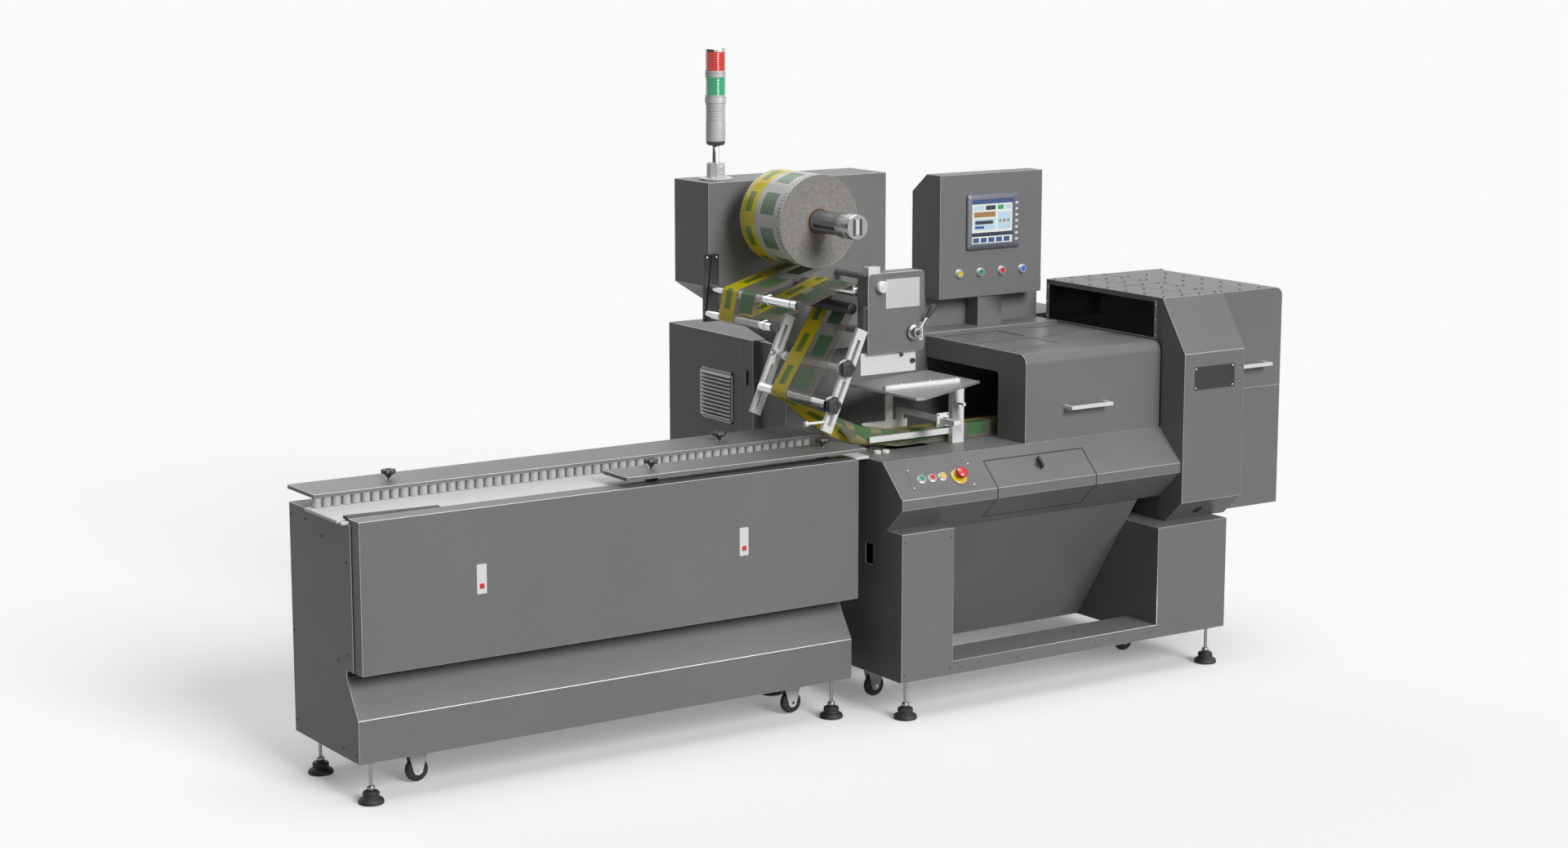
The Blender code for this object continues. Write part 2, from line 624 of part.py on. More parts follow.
def underframes():
    left = INFEED_LEFT + SHEET + GAP
    right = INFEED_RIGHT - SHEET - GAP
    infeed_depth = (SKIRT_FRONT + 0.007, INFEED_BACK - 0.018)
    underframe(
        "infeed_left_underframe",
        ((left, INFEED_LEFT + 0.085), infeed_depth),
        ((INFEED_LEFT + 0.052, -0.010), (INFEED_LEFT + 0.056, 0.351)),
        (INFEED_LEFT + 0.260, INFEED_WHEEL_Y),
        arm((INFEED_LEFT + 0.084, INFEED_LEFT + 0.285), INFEED_WHEEL_Y, ARM_WIDTH[0]),
    )
    underframe(
        "infeed_right_underframe",
        ((INFEED_RIGHT - 0.078, right), infeed_depth),
        ((INFEED_RIGHT - 0.052, -0.006), (INFEED_RIGHT - 0.052, 0.351)),
        (INFEED_RIGHT - 0.138, INFEED_WHEEL_Y),
        arm((INFEED_RIGHT - 0.163, INFEED_RIGHT - 0.077), INFEED_WHEEL_Y, ARM_WIDTH[0]),
    )
    leg_left = LEFT_LEG_X[0] + PLATE + GAP
    leg_right = RIGHT_LEG_X[1] - PLATE - GAP
    main_depth = (LEG_FRONT + PLATE + GAP, CABINET_Y[1] - 0.060)
    underframe(
        "main_left_underframe",
        ((leg_left, LEFT_LEG_X[0] + 0.082), main_depth),
        ((LEFT_LEG_X[0] + 0.048, -0.151), (LEFT_LEG_X[0] + 0.048, 1.100)),
        (LEFT_LEG_X[0] + 0.120, MAIN_WHEEL_Y),
        arm((LEFT_LEG_X[0] + 0.081, LEFT_LEG_X[0] + 0.145), MAIN_WHEEL_Y, ARM_WIDTH[1]),
    )
    underframe(
        "main_right_underframe",
        ((RIGHT_LEG_X[1] - 0.095, leg_right), main_depth),
        ((RIGHT_LEG_X[1] - 0.049, -0.155), (RIGHT_LEG_X[1] - 0.049, 1.100)),
        (RIGHT_LEG_X[1] - 0.185, MAIN_WHEEL_Y),
        arm((RIGHT_LEG_X[1] - 0.210, RIGHT_LEG_X[1] - 0.094), MAIN_WHEEL_Y, ARM_WIDTH[1]),
    )


# ------------------------------------------------------------------ main machine


def slope_y(height, profile=CONSOLE, upper=True):
    """Where a level line meets the console's upper or lower slope."""
    (y0, z0), (y1, z1) = profile[:2] if upper else profile[2:4]
    return y0 + (y1 - y0) * (height - z0) / (z1 - z0)


def slope_point(down):
    """A point on the console's upper slope, that far down from the table's edge."""
    edge, nose = (Vector((0.0, *pair)) for pair in CONSOLE[:2])
    return edge + (nose - edge).normalized() * down


def slope_frame(x, down):
    """Turns +Z to the upper slope's outward normal and moves the origin onto the slope."""
    along = (Vector((0.0, *CONSOLE[1])) - Vector((0.0, *CONSOLE[0]))).normalized()
    normal = Vector((0.0, along.z, -along.y))
    spot = slope_point(down)
    spot.x = x
    turn = Matrix((Vector((1, 0, 0)), normal.cross(Vector((1, 0, 0))), normal)).transposed().to_4x4()
    return Matrix.Translation(spot) @ turn


def base_frame():
    """Two hollow legs and the bar between them, one welded sheet-metal piece."""
    back = CABINET_Y[0] - GAP
    ledge = slope_y(LEFT_LEG_TOP, upper=False) - 0.001
    top = CONSOLE[3][1] - GAP
    left_profile = [
        (LEG_FRONT, FRAME_FOOT),
        (LEG_FRONT, LEFT_LEG_TOP),
        (ledge, LEFT_LEG_TOP),
        (CONSOLE[3][0] - 0.001, top),
        (back, top),
        (back, FRAME_FOOT),
    ]
    frame = make("base_frame", "steel", prism(left_profile, "x", *LEFT_LEG_X))
    x0, x1 = RIGHT_LEG_X
    join(frame, block((x0, LEG_FRONT, FRAME_FOOT), (x1, back, RIGHT_LEG_TOP)))
    far = (x0 + PLATE, CROSSBAR_BACK, CROSSBAR_TOP)
    join(frame, block((LEFT_LEG_X[1] - PLATE, LEG_FRONT, FRAME_FOOT), far))
    low = FRAME_FOOT - PLATE
    for (left, right), height in ((LEFT_LEG_X, top), (RIGHT_LEG_X, RIGHT_LEG_TOP)):
        inside = ((left + PLATE, LEG_FRONT + PLATE, low), (right - PLATE, back + PLATE, height - PLATE))
        cut(frame, boxes(inside))
    left, right = LEFT_LEG_X[1] + PLATE, x0 - PLATE
    bar = ((left, LEG_FRONT + PLATE, low), (right, CROSSBAR_BACK - PLATE, CROSSBAR_TOP - PLATE))
    cut(frame, boxes(bar))
    (front, low), (back, high) = LEG_CUTOUT
    cut(frame, block((LEFT_LEG_X[0] - PLATE, front, low), (LEFT_LEG_X[0] + 2 * PLATE, back, high)))


def belly_panel():
    """The sloping sheet behind the opening between the legs."""
    top = (CONSOLE[3][0] + 0.006, CONSOLE[3][1] - GAP)
    front = (top, BELLY_END)
    profile = [*front, *((y + BELLY_THICKNESS, z) for y, z in reversed(front))]
    make("belly_panel", "steel", prism(profile, "x", LEFT_LEG_X[1] + GAP, RIGHT_LEG_X[0] - GAP))


def main_body():
    back = WALL_FRONT - GAP
    outer = [*CONSOLE, (back, CONSOLE[3][1]), (back, CONSOLE[0][1])]
    inner = inset(outer, PLATE)
    left, right = BODY_X
    body = make("main_body", "steel", prism(outer, "x", left, right))
    cut(body, prism(inner, "x", left + PLATE, right - PLATE))
    cut(body, block((SLOT_X[0], SLOT_Y[0], DECK_TOP - 2 * PLATE), (SLOT_X[1], SLOT_Y[1], DECK_TOP + PLATE)))
    low, high = BEAM_DOOR_Z
    (left, right), deep = BEAM_DOOR_X, slope_y(low, upper=False) + 0.030
    cut(body, block((left - GAP, -0.300, low - GAP), (right + GAP, deep, high + GAP)))

    def holes(bm):
        spots = [(x, CONSOLE_ROW, BUTTON_RADIUS) for _, x, _ in CONSOLE_BUTTONS] + [(*ESTOP, ESTOP_STEM)]
        for x, down, radius in spots:
            hole = bmesh.new()
            rod(hole, radius + BUTTON_CLEARANCE, -0.010, 0.010, (0.0, 0.0), "z", 16)
            hole.transform(slope_frame(x, down))
            spare = bpy.data.meshes.new("hole")
            hole.to_mesh(spare)
            hole.free()
            bm.from_mesh(spare)
            bpy.data.meshes.remove(spare)

    cut(body, holes)


def beam_door():
    low, high = BEAM_DOOR_Z
    outer = [*CONSOLE, (WALL_FRONT, CONSOLE[3][1]), (WALL_FRONT, CONSOLE[0][1])]
    inner = inset(outer, PLATE)
    profile = [
        (slope_y(high), high),
        CONSOLE[1],
        CONSOLE[2],
        (slope_y(low, upper=False), low),
        (slope_y(low, inner, upper=False), low),
        inner[2],
        inner[1],
        (slope_y(high, inner), high),
    ]
    hinge = (BEAM_DOOR_X[0], slope_y(low, upper=False), low)
    door = make("beam_door", "steel", prism(profile, "x", *BEAM_DOOR_X), hinge)

    def spindle_hole(bm):
        rod(bm, LATCH_SPINDLE + 0.0007, -0.010, 0.010, (0.0, 0.0), "z", 12)
        bm.transform(slope_frame(*LATCH))

    cut(door, spindle_hole)

    knob = make("beam_door_latch", "black", latch_body, tuple(slope_frame(*LATCH).translation))
    join(knob, latch_wing)


def latch_body(bm):
    spindle = LATCH_SPINDLE
    outline = ((spindle, -0.012), (spindle, 0.0005), (0.014, 0.0005), (0.014, 0.006), (0.009, 0.011))
    add_turned(bm, outline, (0, 0, 0), "z", 12)
    bm.transform(slope_frame(*LATCH))


def latch_wing(bm):
    add_box(bm, (-0.004, -0.022, 0.005), (0.004, 0.022, 0.020))
    bm.transform(slope_frame(*LATCH))


def console_buttons():
    for name, x, colour in CONSOLE_BUTTONS:

        def cap(bm):
            outline = ((BUTTON_RADIUS, -0.012), (BUTTON_RADIUS, 0.009), (0.008, 0.011))
            add_turned(bm, outline, (0, 0, 0), "z", 16)
            bm.transform(slope_frame(x, CONSOLE_ROW))

        make(name, colour, cap, tuple(slope_frame(x, CONSOLE_ROW).translation))

    def mushroom(bm):
        outline = ((ESTOP_STEM, -0.012), (ESTOP_STEM, 0.014), (0.019, 0.018), (0.020, 0.028), (0.014, 0.034))
        add_turned(bm, outline, (0, 0, 0), "z", 16)
        bm.transform(slope_frame(*ESTOP))

    make("emergency_stop", "red", mushroom, tuple(slope_frame(*ESTOP).translation))


def backbone_wall():
    left, right = LEFT_LEG_X[0], WALL_RIGHT
    back = CABINET_Y[0] - GAP
    low = CONSOLE[3][1]
    wall = make("backbone_wall", "steel", block((left, WALL_FRONT, low), (right, back, WALL_TOP)))
    upper_left, upper_right, upper_front, upper_top = UPPER_WALL
    join(wall, block((upper_left, upper_front, WALL_TOP - PLATE), (upper_right, back, upper_top)))
    far = (right - PLATE, back + PLATE, WALL_TOP - PLATE)
    cut(wall, block((left + PLATE, WALL_FRONT + PLATE, low + PLATE), far))
    low, high = WALL_TOP - 2 * PLATE, upper_top - PLATE
    far = (upper_right - PLATE, back + PLATE, high)
    cut(wall, block((upper_left + PLATE, upper_front + PLATE, low), far))


def electrical_cabinet():
    left, right = CABINET_X
    front, back = CABINET_Y
    low = FRAME_FOOT + CHANNEL + GAP
    cabinet = make("electrical_cabinet", "steel", block((left, front, low), (right, back, CABINET_TOP)))
    high = CABINET_TOP - SHEET
    cut(cabinet, block((left + SHEET, front + SHEET, low + SHEET), (right - SHEET, back - SHEET, high)))
    (x0, x1), (z0, z1) = CABINET_DOOR_X, CABINET_DOOR_Z
    cut(cabinet, block((x0 - GAP, back - 2 * SHEET, z0 - GAP), (x1 + GAP, back + SHEET, z1 + GAP)))
    make("cabinet_door", "steel", block((x0, back - SHEET, z0), (x1, back, z1)), (x0, back, z0))


def handle_shape(face, centre_x, z, width):
    """The outline, seen from above, of a flat pull handle that sinks 2 mm into the face."""
    left, right = centre_x - width / 2, centre_x + width / 2
    outline = [
        (left, face + 0.002),
        (left, face - HANDLE_REACH),
        (right, face - HANDLE_REACH),
        (right, face + 0.002),
        (right - HANDLE_LEG, face + 0.002),
        (right - HANDLE_LEG, face - HANDLE_REACH + HANDLE_BAR),
        (left + HANDLE_LEG, face - HANDLE_REACH + HANDLE_BAR),
        (left + HANDLE_LEG, face + 0.002),
    ]
    return prism(outline, "z", z, z + HANDLE_HEIGHT)


def fin_seal_hood():
    left, right = HOOD_X
    back = WALL_FRONT - GAP
    low = DECK_TOP + GAP
    corner = arc((HOOD_FRONT + HOOD_ROUND, HOOD_TOP - HOOD_ROUND), HOOD_ROUND, 180, 90, 6)
    outer = [(HOOD_FRONT, low), *corner, (back, HOOD_TOP), (back, low)]
    corner = arc((HOOD_FRONT + HOOD_ROUND, HOOD_TOP - HOOD_ROUND), HOOD_ROUND - SHEET, 180, 90, 6)
    inner = [(HOOD_FRONT + SHEET, 0.0), *corner, (back + SHEET, HOOD_TOP - SHEET), (back + SHEET, 0.0)]
    hood = make("fin_seal_hood", "steel", prism(outer, "x", left, right), (left, back, HOOD_TOP))
    cut(hood, prism(inner, "x", left + SHEET, right - SHEET))
    cut(hood, block((left - SHEET, TUNNEL_Y, 0.0), (right + SHEET, back + SHEET, TUNNEL_TOP)))
    join(hood, handle_shape(HOOD_FRONT, *HOOD_HANDLE))


def discharge_housing():
    """The fixed casing round the jaws: its right part ends at the split, under the lifting cover."""
    left, right = HOUSING_X
    front, back = HOOD_FRONT, HOUSING_BACK
    foot, top = HOUSING_FOOT + SHEET, HOUSING_TOP - SHEET
    casing = block((left, front, HOUSING_FOOT), (right, back, HOUSING_TOP))
    housing = make("discharge_housing", "steel", casing)
    cut(housing, block((left + SHEET, front + SHEET, foot), (right - SHEET, back - SHEET, top)))
    corner = (right + SHEET, back - SHEET, HOUSING_TOP + SHEET)
    cut(housing, block((COLUMN_X[1], front - SHEET, HOUSING_SPLIT - GAP), corner))
    length, thick, cheek_top = CHEEK
    start, stop = JAW_X - length / 2, JAW_X + length / 2
    near, far = JAW_Y
    cheeks = (
        ((start, near - thick, HOUSING_FOOT + 0.001), (stop, near - GAP, cheek_top)),
        ((start, far + GAP, HOUSING_FOOT + 0.001), (stop, far + thick, cheek_top)),
    )
    join(housing, boxes(*cheeks))
    (y0, y1), (z0, z1) = PASSAGE_Y, PASSAGE_Z
    cut(housing, block((left - SHEET, y0, z0), (left + 2 * SHEET, y1, z1)))
    cut(housing, block((right - 2 * SHEET, y0, z0), (right + SHEET, y1, z1)))
    (y0, y1), (z0, z1) = WINDOW_Y, WINDOW_Z
    cut(housing, block((left - SHEET, y0, z0), (left + 2 * SHEET, y1, z1)))
    margin = PANE_MARGIN
    inside = left + SHEET + GAP
    pane = block((inside, y0 - margin, z0 - margin), (inside + SHEET, y1 + margin, z1 + margin))
    make("cover_window", "glass", pane)


def end_seal_cover():
    """The cover over the discharge, which lifts by its handle and turns about its rear edge."""
    left, right = COVER_LEFT, HOUSING_X[1]
    front, back = HOOD_FRONT, HOUSING_BACK - SHEET - GAP
    radius = HOUSING_ROUND
    corner = arc((right - radius, HOUSING_TOP - radius), radius, 0, 90, 5)
    outer = [(right, HOUSING_SPLIT), *corner, (left, HOUSING_TOP), (left, HOUSING_SPLIT)]
    corner = arc((right - radius, HOUSING_TOP - radius), radius - SHEET, 0, 90, 5)
    inner = [(right - SHEET, 0.0), *corner, (left - SHEET, HOUSING_TOP - SHEET), (left - SHEET, 0.0)]
    cover = make("end_seal_cover", "steel", prism(outer, "y", front, back), (left, back, HOUSING_TOP))
    cut(cover, prism(inner, "y", front + SHEET, back + SHEET))
    low, high = PASSAGE_Y
    cut(cover, block((right - 2 * SHEET, low, 0.0), (right + SHEET, high, PASSAGE_Z[1])))
    join(cover, handle_shape(front, *COVER_HANDLE))


def column_cover():
    back = HOOD_FRONT - GAP
    outer = [(back, COLUMN[0][1]), *COLUMN[1:], (back, COLUMN[3][1])]
    inner = inset(outer, SHEET)
    column = make("column_cover", "steel", prism(outer, "x", *COLUMN_X))
    (_, top), (_, foot) = inner[0], inner[-1]
    open_back = [(back, top), *inner[1:-1], (back, foot), (-back, foot), (-back, top)]
    cut(column, prism(open_back, "x", COLUMN_X[0] + SHEET, COLUMN_X[1] - SHEET))


def jaws():
    near, far = JAW_Y
    for name, side in (("upper_jaw", 1), ("lower_jaw", -1)):
        z = SEAL_HEIGHT + side * JAW_REACH
        jaw = make(name, "cast_iron", rods((JAW_HUB, near, far, (JAW_X, z), "y", 12)), (JAW_X, near, z))
        reach = JAW_REACH - GAP
        blade = [(-0.014, reach - 0.012), (-0.005, reach), (0.005, reach), (0.014, reach - 0.012)]
        outline = [(JAW_X + x, z + up) for x, up in blade + [(-x, -up) for x, up in blade]]
        join(jaw, prism(outline, "y", near + 0.010, far - 0.010))


def fin_wheels():
    top = DECK_TOP - PLATE - 2 * GAP
    low = CONSOLE[3][1] + PLATE + GAP
    shaft = FIN_SHAFT_RADIUS
    rim = FIN_WHEEL_RADIUS
    outline = ((shaft, low), (shaft, top - 0.016), (rim, top - 0.015), (rim, top - 0.002), (0.012, top))
    for name, side in (("fin_wheel_front", -1), ("fin_wheel_rear", 1)):
        spot = (FIN_WHEEL_X, LANE + side * (FIN_WHEEL_RADIUS + GAP), 0.0)
        make(name, "chrome", lambda bm: add_turned(bm, outline, spot, "z", 20), spot)


# ------------------------------------------------------------------ operator panel


def control_box():
    (left, right), (front, back), (low, high) = BOX_X, BOX_Y, BOX_Z
    drop, run = BOX_CHAMFER
    outer = [(front, low), (front, high), (back - drop, high), (back, high - run), (back, low)]
    box = make("control_box", "steel", prism(outer, "x", left, right))
    cut(box, prism(inset(outer, SHEET), "x", left + SHEET, right - SHEET))
    join(box, block((POST_X[0], POST_Y[0], WALL_TOP + GAP), (POST_X[1], POST_Y[1], low + SHEET / 2)))
    (x0, x1), (z0, z1) = SCREEN_X, SCREEN_Z
    rim = SCREEN_RIM
    play = rim - GAP
    cut(box, block((x0 + play, front - SHEET, z0 + play), (x1 - play, front + 2 * SHEET, z1 - play)))
    radius = BUTTON_RADIUS + BUTTON_CLEARANCE
    spots = [(x, PANEL_BUTTON_Z) for _, x in PANEL_BUTTONS]
    cut(box, rods(*((radius, front - SHEET, front + 2 * SHEET, spot, "y", 16) for spot in spots)))
    face = front - GAP
    panel = make("touch_panel", "screen", block((x0, face - BEZEL_DEPTH, z0), (x1, face, z1)))
    join(panel, block((x0 + rim, face - 0.001, z0 + rim), (x1 - rim, front + 0.030, z1 - rim)))
    outline = ((0.008, front - 0.013), (BUTTON_RADIUS, front - 0.011), (BUTTON_RADIUS, front + 0.014))
    for name, x in PANEL_BUTTONS:
        colour = name.split("_")[0]
        spot = (x, 0.0, PANEL_BUTTON_Z)
        make(name, colour, lambda bm: add_turned(bm, outline, spot, "y", 16), (x, front, PANEL_BUTTON_Z))


# ------------------------------------------------------------------ film unit


def film_box():
    (left, right), (front, back), (low, high) = FILM_BOX_X, FILM_BOX_Y, FILM_BOX_Z
    foot = WALL_TOP + GAP
    outer = [(left, high), (right, high), (right, foot), (NECK_X, foot), (left, low)]
    box = make("film_box", "steel", prism(outer, "y", front, back))
    cut(box, prism(inset(outer, SHEET), "y", front + SHEET, back - SHEET))
    cut(box, rods((CORE_RADIUS + 0.001, front - SHEET, front + 2 * SHEET, REEL, "y", 20)))
    x0, x1, z0, z1 = BRACKET
    join(box, block((x0, front - BRACKET_THICKNESS, z0), (x1, front + 0.001, z1)))


def reel():
    x, z = REEL
    near, far = WEB_Y
    front = FILM_BOX_Y[0] - GAP
    grip = CORE_RADIUS - GAP
    outline = (
        (TIP_RADIUS - 0.003, SHAFT_TIP),
        (TIP_RADIUS, SHAFT_TIP + 0.003),
        (TIP_RADIUS, SHAFT_TIP + 0.075),
        (SHAFT_RADIUS, SHAFT_TIP + 0.078),
        (SHAFT_RADIUS, near - 0.020),
        (grip, near - 0.018),
        (grip, far + 0.010),
        (FLANGE_RADIUS, far + 0.012),
        (FLANGE_RADIUS, front),
        (SHAFT_RADIUS, front),
        (SHAFT_RADIUS, front + 0.060),
    )
    make("film_shaft", "chrome", lambda bm: add_turned(bm, outline, (x, 0.0, z), "y", 20), (x, 0.0, z))
    roll = make("film_roll", "paper", rods((REEL_RADIUS, near, far, REEL, "y", 40)), (x, 0.0, z))
    cut(roll, rods((CORE_RADIUS, near - 0.010, far + 0.010, REEL, "y", 20)))


def roller_bars():
    back = FILM_BOX_Y[0] - BRACKET_THICKNESS - GAP
    collar = BAR_RADIUS + 0.0015
    for name, (x, z, tip) in (("upper_idler_bar", UPPER_BAR), ("lower_idler_bar", LOWER_BAR)):
        front_end = ((BAR_RADIUS - 0.001, tip), (collar, tip + 0.002), (collar, tip + 0.018))
        outline = (*front_end, (BAR_RADIUS, tip + 0.018), (BAR_RADIUS, back))
        make(name, "chrome", lambda bm: add_turned(bm, outline, (x, 0.0, z), "y", 16), (x, 0.0, z))
    near, far = GEARBOX_Y[1] + GAP, FILM_BOX_Y[0] - GAP
    for name, (x, z, radius) in (("feed_roller", FEED_ROLLER), ("nip_roller", NIP_ROLLER)):
        neck = JOURNAL_RADIUS
        front_end = ((neck, near), (neck, near + 0.008), (radius, near + 0.009))
        outline = (*front_end, (radius, far - 0.009), (neck, far - 0.008), (neck, far))
        make(name, "chrome", lambda bm: add_turned(bm, outline, (x, 0.0, z), "y", 16), (x, 0.0, z))


def tension_gearbox():
    (left, right), (front, back), (low, high) = GEARBOX_X, GEARBOX_Y, GEARBOX_Z
    radius = GEARBOX_ROUND
    corners = (
        (right - radius, high - radius, 0),
        (left + radius, high - radius, 90),
        (left + radius, low + radius, 180),
        (right - radius, low + radius, 270),
    )
    outer = [spot for x, z, start in corners for spot in arc((x, z), radius, start, start + 90, 3)]
    box = make("tension_gearbox", "steel", prism(outer, "y", front, back))
    far = FILM_BOX_Y[0] - GAP
    join(box, rods(*((TIE_RADIUS, back - 0.002, far, spot, "y", 12) for spot in TIE_BARS)))
    (x0, x1), (y0, y1), reach = HANGER
    join(box, block((x0, y0, low - reach), (x1, y1, low + 0.004)))
    join(box, rods((0.020, front - 0.022, front + 0.002, GEARBOX_KNOB, "y", 16)))
    hub, end = Vector(LEVER_HUB), Vector(LEVER_END)
    along = (end - hub).normalized()
    side = Vector((-along.y, along.x))
    face = front - GAP
    outline = ((0.022, face), (0.022, face - 0.012), (0.017, face - 0.018), (0.017, face - 0.030))
    spot = (LEVER_HUB[0], 0.0, LEVER_HUB[1])
    origin = (LEVER_HUB[0], front, LEVER_HUB[1])
    lever = make("tension_lever", "chrome", lambda bm: add_turned(bm, outline, spot, "y", 16), origin)

    def stretch(half, start, stop, near, far):
        first, last = hub + along * start, hub + along * stop
        corners = [first + side * half, last + side * half, last - side * half, first - side * half]
        return prism([tuple(corner) for corner in corners], "y", face - far, face - near)

    length = (end - hub).length
    join(lever, stretch(0.0045, 0.010, length - 0.042, 0.020, 0.029))
    join(lever, stretch(0.0090, length - 0.046, length, 0.016, 0.034))


def forming_frame():
    """Two slanted slotted bars and the tube between them, which tilt together."""
    top, end = Vector(FRAME_PIVOT), Vector(FRAME_END)
    along = (end - top).normalized()
    side = Vector((-along.y, along.x)) * (FRAME_WIDTH / 2)
    outline = [tuple(spot) for spot in (top + side, end + side, end - side, top - side)]
    pivot = (FRAME_PIVOT[0], REAR_BAR_Y[1], FRAME_PIVOT[1])
    frame = make("forming_frame", "white", prism(outline, "y", *FRONT_BAR_Y), pivot)
    join(frame, prism(outline, "y", *REAR_BAR_Y))
    x, z, radius = UPPER_TUBE
    join(frame, rods((radius, FRONT_BAR_Y[0] + 0.004, REAR_BAR_Y[1] - 0.004, (x, z), "y", 12)))
    length = (end - top).length
    half = side.normalized() * SLOT_WIDTH / 2
    for start, stop in FRAME_SLOTS:
        first, last = top + along * length * start, top + along * length * stop
        slot = [tuple(spot) for spot in (first + half, last + half, last - half, first - half)]
        cut(frame, prism(slot, "y", FRONT_BAR_Y[0] - 0.002, FRONT_BAR_Y[1] + 0.002))
        cut(frame, prism(slot, "y", REAR_BAR_Y[0] - 0.002, REAR_BAR_Y[1] + 0.002))
    face = FRONT_BAR_Y[0]
    for spot in FORMING_KNOBS:
        join(frame, rods((0.028, face - 0.026, face + 0.001, spot, "y", 10)))
    x, z, radius = CROSS_ROLLER
    near, far = FRONT_BAR_Y[1] + GAP, REAR_BAR_Y[0] - GAP
    make("cross_roller", "chrome", rods((radius, near, far, (x, z), "y", 16)), (x, 0.0, z))


def forming_plate():
    """The plough plate over the product, its post and the bars that guide the folded film."""
    low, high = PLOUGH_Z
    plate = make("forming_plate", "bright", prism(PLOUGH, "z", low, high))
    (x0, x1), (y0, y1) = PLOUGH_POST_X, PLOUGH_POST_Y
    foot = DECK_TOP + GAP
    join(plate, block((x0, y0, foot), (x1, y1, low + 0.002)))
    rail = DECK_TOP + 0.030
    join(plate, block((PLOUGH_X - 0.085, y0 + 0.020, rail), (x0 + 0.010, y1 + 0.002, rail + 0.020)))
    join(plate, block((PLOUGH_X - 0.019, 0.217, rail), (PLOUGH_X + 0.166, 0.223, rail + 0.040)))
    join(plate, block((PLOUGH_X + 0.076, 0.218, rail + 0.020), (PLOUGH_X + 0.106, 0.222, low + 0.002)))
    left, right = PLOUGH_X + 0.016, PLOUGH_X + 0.326
    join(plate, block((left, LANE - 0.009, high - 0.001), (right, LANE + 0.009, high + 0.016)))
    (start, stop), (ruler_low, ruler_high) = RULER_X, RULER_Z
    join(plate, block((start, -0.100, ruler_low), (stop, 0.223, ruler_high)))
    join(plate, block((start, 0.216, rail + 0.020), (stop, 0.224, ruler_low + 0.002)))


def tangent(first, second):
    """Where the film leaves one roller and meets the next: each is (x, z, radius, turn), turn 1 for left."""
    (x0, z0, r0, s0), (x1, z1, r1, s1) = first, second
    dx, dz = x1 - x0, z1 - z0
    gap = math.hypot(dx, dz)
    heading = math.atan2(dz, dx) - math.asin((s1 * r1 - s0 * r0) / gap)
    normal = (-math.sin(heading), math.cos(heading))
    leave = (x0 - s0 * r0 * normal[0], z0 - s0 * r0 * normal[1])
    meet = (x1 - s1 * r1 * normal[0], z1 - s1 * r1 * normal[1])
    return leave, meet, heading


def film_line():
    """The film's path in the XZ plane, from the reel to where it starts to fold."""
    clear = FILM_CLEARANCE
    rollers = [
        (*REEL, REEL_RADIUS + clear, -1),
        (*UPPER_BAR[:2], BAR_RADIUS + clear, 1),
        (*LOWER_BAR[:2], BAR_RADIUS + clear, 1),
        (FEED_ROLLER[0], FEED_ROLLER[1], FEED_ROLLER[2] + clear, -1),
        (NIP_ROLLER[0], NIP_ROLLER[1], NIP_ROLLER[2] + clear, -1),
        (CROSS_ROLLER[0], CROSS_ROLLER[1], CROSS_ROLLER[2] + clear, 1),
        (FOLD_END[0], FOLD_END[1], 0.0, -1),
    ]
    joints = [tangent(one, other) for one, other in zip(rollers, rollers[1:])]
    points = [joints[0][0]]
    for number, (x, z, radius, turn) in enumerate(rollers[1:-1]):
        arrive, depart = joints[number][1], joints[number + 1][0]
        start = math.atan2(arrive[1] - z, arrive[0] - x)
        sweep = math.atan2(depart[1] - z, depart[0] - x) - start
        while sweep * turn < 0:
            sweep += turn * 2 * math.pi
        sweep = sweep - turn * 2 * math.pi if abs(sweep) > 2 * math.pi else sweep
        steps = max(2, int(abs(sweep) / 0.5))
        for step in range(steps + 1):
            angle = start + sweep * step / steps
            points.append((x + radius * math.cos(angle), z + radius * math.sin(angle)))
    fold = joints[-1][1]
    return points, fold


def film_section(fold):
    """Half of the film's cross-section, from its middle to its edge, folded by a share from 0 to 1."""
    half = (WEB_Y[1] - WEB_Y[0]) / 2
    side = TUBE_TOP - TUBE_FOOT
    flap = half - TUBE_HALF_WIDTH - side
    spots = [(0.0, 0.0), (TUBE_HALF_WIDTH, 0.0)]
    first = math.radians(90) * fold
    second = math.radians(180) * fold
    for length, angle in ((side, first), (flap, second)):
        y, z = spots[-1]
        spots.append((y + length * math.cos(angle), z - length * math.sin(angle)))
    return spots


def film_web():
    """The film itself, from the reel round its rollers and folded into a tube on the table."""
    points, fold = film_line()
    middle = (WEB_Y[0] + WEB_Y[1]) / 2
    stations = [(x, z, 0.0) for x, z in points]
    last = points[-1]
    for share in (0.2, 0.4, 0.6, 0.8, 1.0):
        x, z = (here + (there - here) * share for here, there in zip(last, fold))
        stations.append((x, z, FOLD_END[2] * share**1.5))
    stations += [*TUBE_SETTLE, (TUBE_END, TUBE_TOP, 1.0)]

    def sheet(bm):
        rows = []
        for number, (x, z, share) in enumerate(stations):
            half = film_section(share)
            line = [(-y, up) for y, up in reversed(half[1:])] + half
            drift = middle + (LANE - middle) * min(1.0, max(0, number - len(points)) / 5)
            rows.append([bm.verts.new((x, drift + y, z + up)) for y, up in line])
        for one, other in zip(rows, rows[1:]):
            for k in range(len(one) - 1):
                bm.faces.new((one[k], one[k + 1], other[k + 1], other[k]))
        bmesh.ops.recalc_face_normals(bm, faces=bm.faces)

    web = make("film_web", "film", sheet)
    thick = web.modifiers.new("thickness", "SOLIDIFY")
    thick.thickness = FILM_THICKNESS
    thick.offset = 0.0


